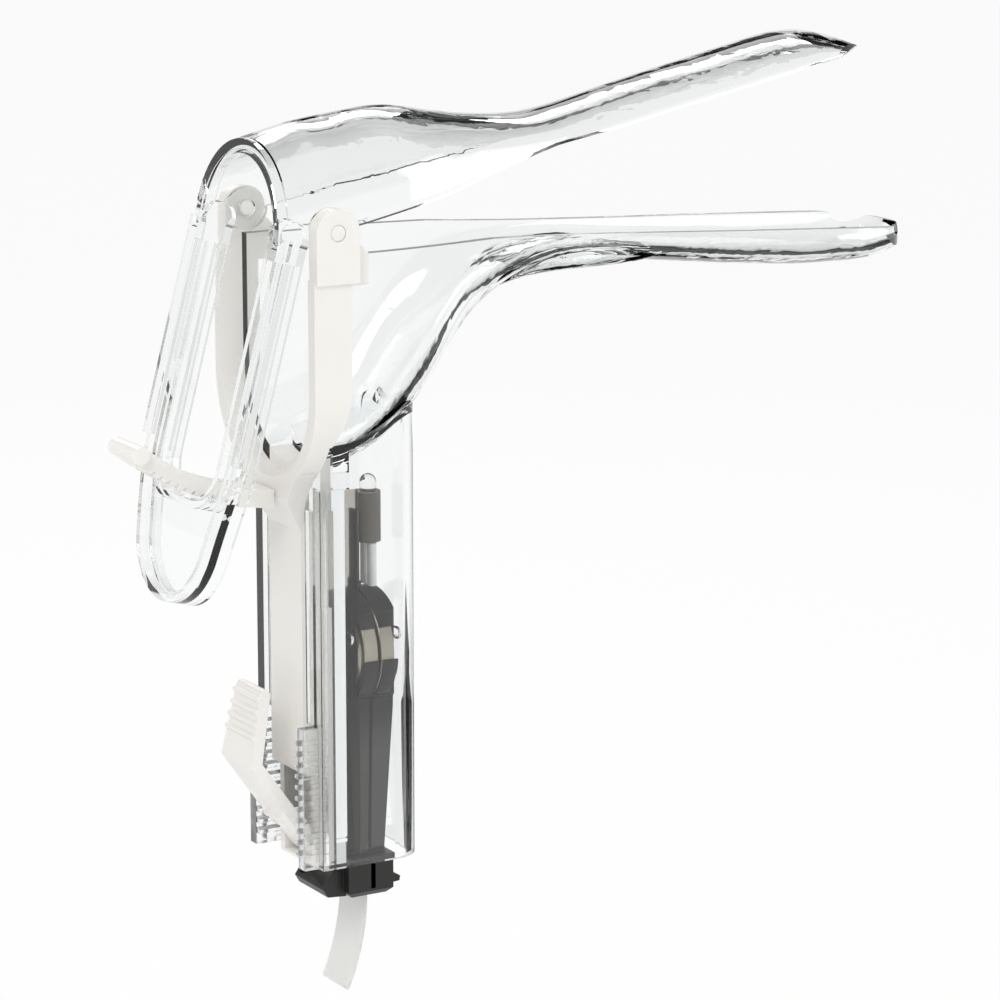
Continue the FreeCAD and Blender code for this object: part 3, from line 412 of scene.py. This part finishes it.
def moulded(name, first, second, roughness, spread=0.08, scale=90.0, bump=2e-5, coat=0.0, scatter=0.0,
            gloss=0.5):
    """An opaque moulded plastic with a mottled colour and uneven polish."""
    material, tree, shader = mottled_material(name, first, second, roughness, spread, scale, bump)
    shader.inputs["IOR"].default_value = 1.48
    shader.inputs["Specular IOR Level"].default_value = gloss
    shader.inputs["Coat Weight"].default_value = coat
    shader.inputs["Coat Roughness"].default_value = 0.12
    shader.inputs["Subsurface Weight"].default_value = scatter
    shader.inputs["Subsurface Radius"].default_value = (1.0, 0.95, 0.85)
    shader.inputs["Subsurface Scale"].default_value = 0.0012
    return material


def see_through(name, first, second, roughness, refraction, weight=1.0, spread=0.02, scale=40.0, bump=6e-6,
                shadow=0.12):
    """A clear or milky plastic that lets most light through to what stands behind it."""
    material, tree, shader = mottled_material(name, first, second, roughness, spread, scale, bump)
    shader.inputs["Transmission Weight"].default_value = weight
    shader.inputs["IOR"].default_value = refraction
    shadow_ray = tree.nodes.new("ShaderNodeLightPath").outputs["Is Shadow Ray"]
    tree.links.new(calc(tree, "MULTIPLY_ADD", shadow_ray, shadow - 1.0, 1.0), shader.inputs["Alpha"])
    return material


def metal(name, light, dark, roughness, stretch):
    """A drawn or stamped metal with fine lines and a cloudy tone."""
    material, tree, shader = blank_material(name)
    lines = add_group(tree, drawn_metal_group(), Roughness=roughness, Stretch=stretch)
    tone = blend(tree, lines.outputs["Mask"], (*light, 1.0), (*dark, 1.0))
    tree.links.new(tone, shader.inputs["Base Color"])
    tree.links.new(lines.outputs["Roughness"], shader.inputs["Roughness"])
    add_bump(tree, shader, lines.outputs["Height"], 1e-5, 0.3)
    shader.inputs["Metallic"].default_value = 1.0
    return material


def holder_plastic(name, module):
    """The dull dark plastic of the cell holder."""
    first = tuple(module.carrier)
    return moulded(name, first, shaded(first, 1.4), 0.4, spread=0.14, scale=120.0, bump=3e-5, gloss=0.3)


def give(nodes, material):
    """Puts one material on each named CAD node."""
    for name in nodes:
        mesh = NODES[name].data
        mesh.materials.clear()
        mesh.materials.append(material)


def even_shading_group():
    """Modifier group that joins loose facets and shades smoothly across all but sharp edges."""
    name = "Even shading"
    if name in bpy.data.node_groups:
        return bpy.data.node_groups[name]
    group = bpy.data.node_groups.new(name, "GeometryNodeTree")
    group.is_modifier = True
    group.interface.new_socket(name="Geometry", in_out="INPUT", socket_type="NodeSocketGeometry")
    group.interface.new_socket(name="Geometry", in_out="OUTPUT", socket_type="NodeSocketGeometry")
    start = group.nodes.new("NodeGroupInput")
    end = group.nodes.new("NodeGroupOutput")
    merge = group.nodes.new("GeometryNodeMergeByDistance")
    merge.inputs["Distance"].default_value = SAME_PLACE
    angle = group.nodes.new("GeometryNodeInputMeshEdgeAngle")
    sharp = group.nodes.new("FunctionNodeCompare")
    sharp.data_type = "FLOAT"
    sharp.operation = "GREATER_THAN"
    sharp.inputs["B"].default_value = SHARP_EDGE
    normal = group.nodes.new("GeometryNodeSetMeshNormal")
    normal.mode = "SHARPNESS"
    normal.inputs["Remove Custom"].default_value = True
    normal.inputs["Face Sharpness"].default_value = False
    group.links.new(start.outputs["Geometry"], merge.inputs["Geometry"])
    group.links.new(merge.outputs["Geometry"], normal.inputs["Mesh"])
    group.links.new(angle.outputs["Unsigned Angle"], sharp.inputs["A"])
    group.links.new(sharp.outputs["Result"], normal.inputs["Edge Sharpness"])
    group.links.new(normal.outputs["Mesh"], end.inputs["Geometry"])
    return group


def soften(nodes, corner):
    """Joins a CAD node's facets and breaks its sharp corners, as live modifiers."""
    for name in nodes:
        piece = NODES[name]
        even = piece.modifiers.new("Even shading", "NODES")
        even.node_group = even_shading_group()
        flat = piece.modifiers.new("Merge flat facets", "DECIMATE")
        flat.decimate_type = "DISSOLVE"
        flat.angle_limit = FLAT_FACETS
        bevel = piece.modifiers.new("Broken corners", "BEVEL")
        bevel.width = corner
        bevel.segments = 2
        bevel.limit_method = "ANGLE"
        bevel.angle_limit = CAD_CORNER
        bevel.harden_normals = False
        bevel.miter_outer = "MITER_ARC"
        shade = piece.modifiers.new("Level faces", "WEIGHTED_NORMAL")
        shade.mode = "FACE_AREA_WITH_ANGLE"
        shade.weight = 80
        shade.keep_sharp = True


# Mesh helpers

def add_object(name, shape, material):
    """Turns a finished bmesh into an object in the scene."""
    mesh = bpy.data.meshes.new(name)
    shape.to_mesh(mesh)
    shape.free()
    mesh.materials.append(material)
    piece = bpy.data.objects.new(name, mesh)
    bpy.context.scene.collection.objects.link(piece)
    return piece


def finish_piece(name, shape, material, body, bevel=0.0):
    """Breaks a bmesh's sharp corners and turns it into a smooth piece that rides on a body."""
    bmesh.ops.remove_doubles(shape, verts=shape.verts, dist=1e-7)
    if bevel:
        sharp = [edge for edge in shape.edges
                 if len(edge.link_faces) == 2 and edge.calc_face_angle(0.0) > PIECE_CORNER]
        bmesh.ops.bevel(shape, geom=sharp, offset=bevel, affect="EDGES", segments=2, profile=0.5,
                        material=-1)
    bmesh.ops.recalc_face_normals(shape, faces=shape.faces)
    piece = add_object(name, shape, material)
    for face in piece.data.polygons:
        face.use_smooth = True
    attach(piece, body)
    return piece


def add_rod(shape, start, end, radius, end_radius=None, sides=24):
    """A round rod or cone between two points in millimetres."""
    start = Vector(start) * MM
    end = Vector(end) * MM
    along = end - start
    turn = along.to_track_quat("Z", "Y").to_matrix().to_4x4()
    matrix = Matrix.Translation((start + end) * 0.5) @ turn
    bmesh.ops.create_cone(shape, cap_ends=True, cap_tris=False, segments=sides, radius1=radius * MM,
                          radius2=(radius if end_radius is None else end_radius) * MM, depth=along.length,
                          matrix=matrix)


def add_wire(shape, points, radius, sides=12):
    """A bent round wire through points in millimetres, closed at both ends."""
    points = [Vector(p) * MM for p in points]
    rings = []
    for i, point in enumerate(points):
        along = points[min(i + 1, len(points) - 1)] - points[max(i - 1, 0)]
        turn = along.to_track_quat("Z", "X").to_matrix().to_4x4()
        ring = bmesh.ops.create_circle(shape, cap_ends=False, segments=sides, radius=radius * MM,
                                       matrix=Matrix.Translation(point) @ turn)
        rings.append(ring["verts"])
    for first, second in zip(rings, rings[1:]):
        shift = min(range(sides), key=lambda k: (second[k].co - first[0].co).length)
        for k in range(sides):
            shape.faces.new((first[k], first[(k + 1) % sides], second[(k + 1 + shift) % sides],
                             second[(k + shift) % sides]))
    shape.faces.new(rings[0])
    shape.faces.new(rings[-1])


def add_arc_wall(shape, x_range, centre_z, radii, start, end, steps=14):
    """Part of a cup's wall about a cell's axis, between two angles from straight up."""
    rear, front = x_range
    inner, outer = radii
    corners = []
    for x, r in ((rear, inner), (front, inner), (front, outer), (rear, outer)):
        place = (x, -r * math.sin(start), centre_z + r * math.cos(start))
        corners.append(shape.verts.new(Vector(place) * MM))
    face = shape.faces.new(corners)
    bmesh.ops.spin(shape, geom=[face, *face.edges, *face.verts], cent=Vector((0.0, 0.0, centre_z)) * MM,
                   axis=(1.0, 0.0, 0.0), angle=end - start, steps=steps, use_merge=False,
                   use_normal_flip=False, use_duplicate=False)


def add_block(shape, low, high):
    """A square block between two corners in millimetres."""
    low = Vector(low) * MM
    high = Vector(high) * MM
    size = high - low
    matrix = Matrix.Translation((low + high) * 0.5) @ Matrix.Diagonal((*size, 1.0))
    return bmesh.ops.create_cube(shape, size=1.0, matrix=matrix)


# Operators

def camera_place(studio):
    """Where the camera stands."""
    return Vector((studio.aim_x - studio.distance * math.sin(studio.heading),
                   -studio.distance * math.cos(studio.heading), studio.height))


class SPECULUM_OT_camera(bpy.types.Operator):
    """Set the camera where the photograph was taken from"""
    bl_idname = "speculum.camera"
    bl_label = "Camera"

    def execute(self, context):
        studio = context.scene.speculum_studio
        data = bpy.data.cameras.new("Photo camera")
        data.sensor_width = 36.0
        data.lens = studio.lens
        data.clip_start = 0.02
        data.clip_end = 30.0
        camera = bpy.data.objects.new("Photo camera", data)
        context.scene.collection.objects.link(camera)
        heading, tilt = studio.heading, studio.tilt
        camera.location = camera_place(studio)
        level = math.cos(tilt)
        view = Vector((level * math.sin(heading), level * math.cos(heading), -math.sin(tilt)))
        camera.rotation_euler = view.to_track_quat("-Z", "Y").to_euler()
        context.scene.camera = camera
        return {"FINISHED"}


class SPECULUM_OT_stage(bpy.types.Operator):
    """Lay the pale floor and hang the soft lamps, the dark flags and the dark ceiling"""
    bl_idname = "speculum.stage"
    bl_label = "Studio"

    def floor(self, studio):
        """A wide pale floor that shows white and keeps the part's shadow."""
        material, tree, surface, glow = empty_material("Pale floor")
        paint = tree.nodes.new("ShaderNodeBsdfDiffuse")
        paint.inputs["Color"].default_value = (0.9, 0.9, 0.9, 1.0)
        seen = seen_rays(tree, tree.nodes.new("ShaderNodeLightPath"))
        mix_shaders(tree, calc(tree, "MULTIPLY", seen, FLOOR_GLOW), paint, glow, surface)
        floor_z = CAD_BOX[0][2] - studio.floor_drop
        shape = bmesh.new()
        bmesh.ops.create_circle(shape, cap_ends=True, segments=64, radius=FLOOR_RADIUS,
                                matrix=Matrix.Translation((0, 0, floor_z)))
        add_object("Floor", shape, material)

    def add_sheet(self, shape, studio, corners):
        """A flat sheet, each corner by its reach, side angle and height as seen from the camera."""
        eye = camera_place(studio)
        verts = []
        for reach, side, z in corners:
            angle = studio.heading + side
            place = (eye.x + reach * math.sin(angle), eye.y + reach * math.cos(angle), z)
            verts.append(shape.verts.new(place))
        shape.faces.new(verts)

    def dark_flags(self, studio):
        """Dark sheets beside the camera's lines through the clear parts, which darken their edges."""
        low = CAD_BOX[0][2]
        shape = bmesh.new()
        for (near, far), (left, right) in ((studio.under_reach, studio.under_sides),
                                           (studio.side_reach, studio.side_sides)):
            self.add_sheet(shape, studio, ((near, left, low), (near, right, low),
                                           (far, right, low), (far, left, low)))
        reach, half, tall = studio.top_reach, studio.top_half, studio.top_tall
        left_foot, right_foot = studio.top_feet
        self.add_sheet(shape, studio, ((reach, -half, left_foot), (reach, half, right_foot),
                                       (reach, half, right_foot + tall), (reach, -half, left_foot + tall)))
        material, tree, surface, glow = empty_material("Dark flags")
        glow.inputs["Color"].default_value = (*studio.flag, 1.0)
        tree.links.new(glow.outputs[0], surface)
        flags = add_object("Dark flags", shape, material)
        flags.visible_camera = False
        flags.visible_diffuse = False
        flags.visible_shadow = False

    def world(self, context, studio):
        """Soft light from all round. Gloss and clear parts see a white room with a dark ceiling."""
        world = bpy.data.worlds.new("Studio")
        context.scene.world = world
        world.use_nodes = True
        tree = world.node_tree
        soft = tree.nodes["Background"]
        soft.inputs["Strength"].default_value = studio.fill
        soft.inputs["Color"].default_value = (1.0, 0.995, 0.985, 1.0)
        direction = tree.nodes.new("ShaderNodeTexCoord").outputs["Generated"]
        upward = split_axes(tree, direction)["Z"]
        ceiling = ramp(tree, upward, *CEILING, 1.0, studio.zenith)
        path = tree.nodes.new("ShaderNodeLightPath")
        room = tree.nodes.new("ShaderNodeBackground")
        brightness = calc(tree, "MAXIMUM", ceiling, path.outputs["Is Camera Ray"])
        tree.links.new(brightness, room.inputs["Strength"])
        surface = tree.nodes["World Output"].inputs["Surface"]
        mix_shaders(tree, seen_rays(tree, path), soft, room, surface)

    def lamp(self, context, name, place, aim, size, power, colour):
        """A rectangular soft lamp that faces its aim."""
        data = bpy.data.lights.new(name, "AREA")
        data.shape = "RECTANGLE"
        data.size, data.size_y = size
        data.energy = power
        data.color = colour
        lamp = bpy.data.objects.new(name, data)
        context.scene.collection.objects.link(lamp)
        lamp.location = place
        lamp.rotation_euler = (Vector(aim) - Vector(place)).to_track_quat("-Z", "Y").to_euler()

    def execute(self, context):
        studio = context.scene.speculum_studio
        self.floor(studio)
        self.dark_flags(studio)
        self.world(context, studio)
        for lamp in LAMPS:
            self.lamp(context, *lamp)
        context.scene.view_settings.view_transform = "Standard"
        return {"FINISHED"}


class SPECULUM_OT_clear_parts(bpy.types.Operator):
    """Finish the two blades in clear, polished plastic"""
    bl_idname = "speculum.clear_parts"
    bl_label = "Clear blades"

    def frost_ladders(self, material, frost):
        """A dull texture on the ladders at the handle's rear, by place on the part."""
        tree = material.node_tree
        rough_input = tree.nodes["Principled BSDF"].inputs["Roughness"]
        polish = rough_input.links[0].from_socket
        axes = split_axes(tree, object_place(tree))
        masks = [ramp(tree, axes[axis], edge + soft, edge - soft, kind="LINEAR")
                 for axis, edge, soft in (LADDER_FRONT, LADDER_TOP)]
        ladder = calc(tree, "MULTIPLY", *masks)
        tree.links.new(calc(tree, "MULTIPLY_ADD", ladder, frost, polish), rough_input)

    def execute(self, context):
        clear = context.scene.speculum_clear
        tint = tuple(clear.tint)
        material = see_through("Clear plastic", tint, shaded(tint, 0.992), clear.polish, clear.refraction)
        self.frost_ladders(material, clear.frost)
        give(("lower_blade", "upper_blade"), material)
        return {"FINISHED"}


class SPECULUM_OT_white_parts(bpy.types.Operator):
    """Finish the yoke, its pins, the strap and the latch in white plastic"""
    bl_idname = "speculum.white_parts"
    bl_label = "White mouldings"

    def turned_pin(self, name, material):
        """A round hinge pin in the place of the CAD's faceted one."""
        low, high = node_box(name)
        middle = 0.5 * (low + high)
        shape = bmesh.new()
        radius = 0.5 * (high.x - low.x)
        add_rod(shape, (middle.x, low.y, middle.z), (middle.x, high.y, middle.z), radius, sides=64)
        turned = finish_piece(name + "_turned", shape, material, "yoke", 0.0003)
        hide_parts(name)

    def execute(self, context):
        white = context.scene.speculum_white
        first, second = tuple(white.colour), tuple(white.shade)
        lighter = tuple(min(1.0, value) for value in shaded(first, 1.03))
        body = moulded("White plastic", first, second, 0.34, spread=0.1, scale=70.0, bump=1.5e-5, coat=0.1,
                       scatter=0.12)
        pale = moulded("Pale strap plastic", lighter, first, 0.3, spread=0.1, scale=110.0, bump=1.5e-5,
                       coat=0.15, scatter=0.25)
        give(("yoke", "height_latch") + HINGE_PINS, body)
        give(("angle_strap",), pale)
        soften(("yoke", "height_latch", "angle_strap"), 0.0003)
        for name in HINGE_PINS:
            self.turned_pin(name, body)
        return {"FINISHED"}


class SPECULUM_OT_light_module(bpy.types.Operator):
    """Finish the cap, the cell holder, the cells, the contacts and the lamp"""
    bl_idname = "speculum.light_module"
    bl_label = "Light cartridge"

    def fade_tails(self, material, tail):
        """Lets the holder's thin tails show paler below the cups, by height on the part."""
        tree = material.node_tree
        colour_input = tree.nodes["Principled BSDF"].inputs["Base Color"]
        plain = colour_input.links[0].from_socket
        height = split_axes(tree, object_place(tree))["Z"]
        faded = blend(tree, ramp(tree, height, *TAIL_FADE), plain, (*tail, 1.0))
        tree.links.new(faded, colour_input)

    def plastics(self, module):
        """The mouldings round the lamp and the cells."""
        cap = tuple(module.cap)
        black = moulded("Black plastic", cap, shaded(cap, 1.5), 0.42, spread=0.14, scale=160.0, bump=3e-5)
        holder = holder_plastic("Dark grey plastic", module)
        self.fade_tails(holder, module.tail)
        lamp = moulded("Lamp holder plastic", (0.15, 0.137, 0.112), (0.1, 0.092, 0.078), 0.5, spread=0.12,
                       scale=140.0, bump=3e-5)
        sleeve = moulded("Sleeve plastic", (0.93, 0.93, 0.92), (0.88, 0.88, 0.87), 0.45, spread=0.1,
                         scale=300.0)
        give(("cartridge_cap",), black)
        give(("carrier_front", "carrier_rear"), holder)
        give(("led_holder",), lamp)
        give(("leg_sleeve_near", "leg_sleeve_far"), sleeve)

    def metals(self):
        """The contacts, the cells and the lamp's legs."""
        spring = metal("Spring steel", (0.86, 0.86, 0.85), (0.72, 0.72, 0.71), 0.08, (1.0, 0.04, 1.0))
        cell = metal("Cell steel", (0.46, 0.42, 0.35), (0.34, 0.31, 0.26), 0.24, (0.05, 1.0, 1.0))
        wire = metal("Tinned wire", (0.78, 0.78, 0.77), (0.6, 0.6, 0.6), 0.18, (1.0, 1.0, 0.05))
        give(("contact_front", "contact_rear"), spring)
        give(("battery_front", "battery_rear"), cell)
        give(("led_leg_near", "led_leg_far"), wire)

    def execute(self, context):
        self.plastics(context.scene.speculum_module)
        self.metals()
        lens = see_through("Lamp lens", (0.97, 0.97, 0.95), (0.94, 0.94, 0.92), 0.03, 1.52)
        film = see_through("Tab film", (0.93, 0.93, 0.915), (0.87, 0.87, 0.86), 0.32, 1.45, weight=0.45,
                           spread=0.1, scale=160.0, bump=4e-5, shadow=0.5)
        give(("led_lens",), lens)
        give(("pull_tab",), film)
        soften(("cartridge_cap", "carrier_front", "carrier_rear"), 0.0003)
        soften(("battery_front", "battery_rear"), 0.0004)
        soften(("led_holder",), 0.0002)
        soften(("contact_front", "contact_rear", "leg_sleeve_near", "leg_sleeve_far"), 0.00008)
        return {"FINISHED"}


class SPECULUM_OT_lamp_insides(bpy.types.Operator):
    """Add the chip, its cup and the lead frame inside the lamp"""
    bl_idname = "speculum.lamp_insides"
    bl_label = "Lamp insides"

    def execute(self, context):
        low, high = node_box("led_lens")
        x = 0.5 * (low.x + high.x)
        bars_low = low.z + 0.2
        bars_high = high.z - 5.2
        cup_high = high.z - 4.3
        cup_y = 0.36
        frame_metal = metal("Lead frame", (0.82, 0.82, 0.8), (0.66, 0.66, 0.64), 0.16, (1.0, 1.0, 0.08))
        lead_frame = bmesh.new()
        for y in (-0.62, 0.62):
            add_block(lead_frame, (x - 0.22, y - 0.3, bars_low), (x + 0.22, y + 0.3, bars_high))
        add_rod(lead_frame, (x, cup_y, bars_high), (x, cup_y, cup_high), 0.45, 0.7)
        add_block(lead_frame, (x - 0.2, -0.9, bars_high), (x + 0.2, -0.6, high.z - 4.4))
        finish_piece("lamp_lead_frame", lead_frame, frame_metal, "light_cartridge", 0.00004)

        die = tuple(context.scene.speculum_module.die)
        die_plastic = moulded("Lamp chip", die, shaded(die, 0.8), 0.5, spread=0.05, scale=900.0, bump=1e-5)
        chip = bmesh.new()
        add_block(chip, (x - 0.28, cup_y - 0.26, cup_high), (x + 0.28, cup_y + 0.26, cup_high + 0.18))
        finish_piece("lamp_chip", chip, die_plastic, "light_cartridge", 0.00003)
        return {"FINISHED"}


class SPECULUM_OT_lamp_support(bpy.types.Operator):
    """Add the dark tongue behind the lamp and a smoky film round the cartridge, which is painted shade"""
    bl_idname = "speculum.lamp_support"
    bl_label = "Lamp support"

    def tongue(self, module, low, high):
        """The dark strip behind the lamp, with a wider foot on the cups."""
        foot_z = node_box("carrier_front")[1].z - 0.3
        rear, front = low.x - 1.0, low.x - 0.15
        shape = bmesh.new()
        for half_width, top_z in ((1.3, high.z - 3.0), (1.9, foot_z + 1.9)):
            add_block(shape, (rear, -half_width, foot_z), (front, half_width, top_z))
        black = holder_plastic("Lamp tongue plastic", module)
        finish_piece("lamp_tongue", shape, black, "light_cartridge", 0.0002)

    def wrap(self, module, low, high):
        """A smoky film round the cartridge's rear, open in front and at both ends: painted shade, a dark
        sheet that stands in for the darkness the clear handle shows there.
        """
        colour = tuple(module.wrap)
        # Painted shade: this dark see-through film darkens what the clear handle shows round the cartridge
        painted_shade = see_through("Painted shade film", colour, shaded(colour, 0.85), 0.16, 1.1, spread=0.08, scale=60.0,
                            bump=2e-5, shadow=0.7)
        rear = node_box("carrier_rear")[0].x - 1.45
        foot_z = node_box("cartridge_cap")[1].z + 0.1
        half_width = 8.2
        shape = bmesh.new()
        block = add_block(shape, (rear, -half_width, foot_z), (low.x - 4.2, half_width, high.z + 2.6))
        open_sides = {face for corner in block["verts"] for face in corner.link_faces
                      if face.normal.x > 0.9 or abs(face.normal.z) > 0.9}
        bmesh.ops.delete(shape, geom=list(open_sides), context="FACES")
        film = finish_piece("cartridge_shade_film", shape, painted_shade, "light_cartridge")
        film.data.shade_flat()
        thick = film.modifiers.new("Film thickness", "SOLIDIFY")
        thick.thickness = 0.00012
        thick.offset = -1.0

    def execute(self, context):
        module = context.scene.speculum_module
        low, high = node_box("led_holder")
        self.tongue(module, low, high)
        self.wrap(module, low, high)
        return {"FINISHED"}


class SPECULUM_OT_cell_seats(bpy.types.Operator):
    """Add the cups' dark side walls round the cells and the bright clip wires"""
    bl_idname = "speculum.cell_seats"
    bl_label = "Cell seats"

    def cup_sides(self, module, name, material):
        """A cup's walls at both sides of its cell, with a window in which the cell's edge shows."""
        window_top, window_end = math.radians(60.0), math.radians(93.0)
        low, high = node_box("battery_" + name)
        centre = 0.5 * (low.z + high.z)
        inner = 0.5 * (high.z - low.z) + module.cup_gap / MM
        outer = inner + module.cup_wall / MM
        edge = math.asin(node_box("carrier_" + name)[1].y / outer) + 0.01
        x_range = (low.x + 0.1, high.x - 0.1)
        shape = bmesh.new()
        for start, end in ((edge, window_top), (window_end, math.pi - edge)):
            add_arc_wall(shape, x_range, centre, (inner, outer), start, end)
            add_arc_wall(shape, x_range, centre, (inner, outer), -start, -end)
        finish_piece("cup_sides_" + name, shape, material, "light_cartridge", 0.00008)

    def clip_wire(self, module, name, material):
        """A bright wire across a cup's face, with a hook at its near end."""
        cell_low, cell_high = node_box("battery_" + name)
        holder_low, holder_high = node_box("carrier_" + name)
        radius = module.clip_wire / MM
        lift = radius + 0.02
        x = holder_high.x + lift if name == "front" else holder_low.x - lift
        z = 0.5 * (cell_low.z + cell_high.z) + 4.4
        far_y, step, steps = 7.2, 0.6, 25
        near_y = far_y - step * steps
        points = [(x, far_y - step * i, z) for i in range(steps + 1)]
        hook_radius, hook_step, hook_steps = 0.95, math.radians(28.0), 8
        for i in range(1, hook_steps + 1):
            y = near_y - hook_radius * math.sin(hook_step * i)
            drop = hook_radius * (1.0 - math.cos(hook_step * i))
            points.append((x, y, z - drop))
        shape = bmesh.new()
        add_wire(shape, points, radius)
        finish_piece("clip_wire_" + name, shape, material, "light_cartridge")

    def execute(self, context):
        module = context.scene.speculum_module
        dark = holder_plastic("Cup plastic", module)
        bright = metal("Clip wire", (0.9, 0.9, 0.89), (0.78, 0.78, 0.77), 0.1, (1.0, 0.04, 1.0))
        for name in ("front", "rear"):
            self.cup_sides(module, name, dark)
            self.clip_wire(module, name, bright)
        return {"FINISHED"}


OPERATORS = (SPECULUM_OT_camera, SPECULUM_OT_stage, SPECULUM_OT_clear_parts, SPECULUM_OT_white_parts,
             SPECULUM_OT_light_module, SPECULUM_OT_lamp_insides, SPECULUM_OT_lamp_support,
             SPECULUM_OT_cell_seats)
SETTINGS = (("speculum_clear", ClearPlasticSettings), ("speculum_white", WhitePlasticSettings),
            ("speculum_module", LightModuleSettings), ("speculum_studio", StudioSettings))


class SPECULUM_PT_panel(bpy.types.Panel):
    bl_label = "Speculum"
    bl_idname = "SPECULUM_PT_panel"
    bl_space_type = "VIEW_3D"
    bl_region_type = "UI"
    bl_category = "Speculum"

    def draw(self, context):
        for name, group in SETTINGS:
            box = self.layout.box()
            for label in group.__annotations__:
                box.prop(getattr(context.scene, name), label)
        for operator in OPERATORS:
            self.layout.operator(operator.bl_idname)


def register():
    for name, group in SETTINGS:
        bpy.utils.register_class(group)
        setattr(bpy.types.Scene, name, bpy.props.PointerProperty(type=group))
    for item in OPERATORS + (SPECULUM_PT_panel,):
        bpy.utils.register_class(item)


def unregister():
    for item in reversed(OPERATORS + (SPECULUM_PT_panel,)):
        bpy.utils.unregister_class(item)
    for name, group in reversed(SETTINGS):
        delattr(bpy.types.Scene, name)
        bpy.utils.unregister_class(group)


def main():
    register()
    bpy.ops.speculum.camera()
    bpy.ops.speculum.stage()
    bpy.ops.speculum.clear_parts()
    bpy.ops.speculum.white_parts()
    bpy.ops.speculum.light_module()
    bpy.ops.speculum.lamp_insides()
    bpy.ops.speculum.lamp_support()
    bpy.ops.speculum.cell_seats()


if __name__ == "__main__":
    main()
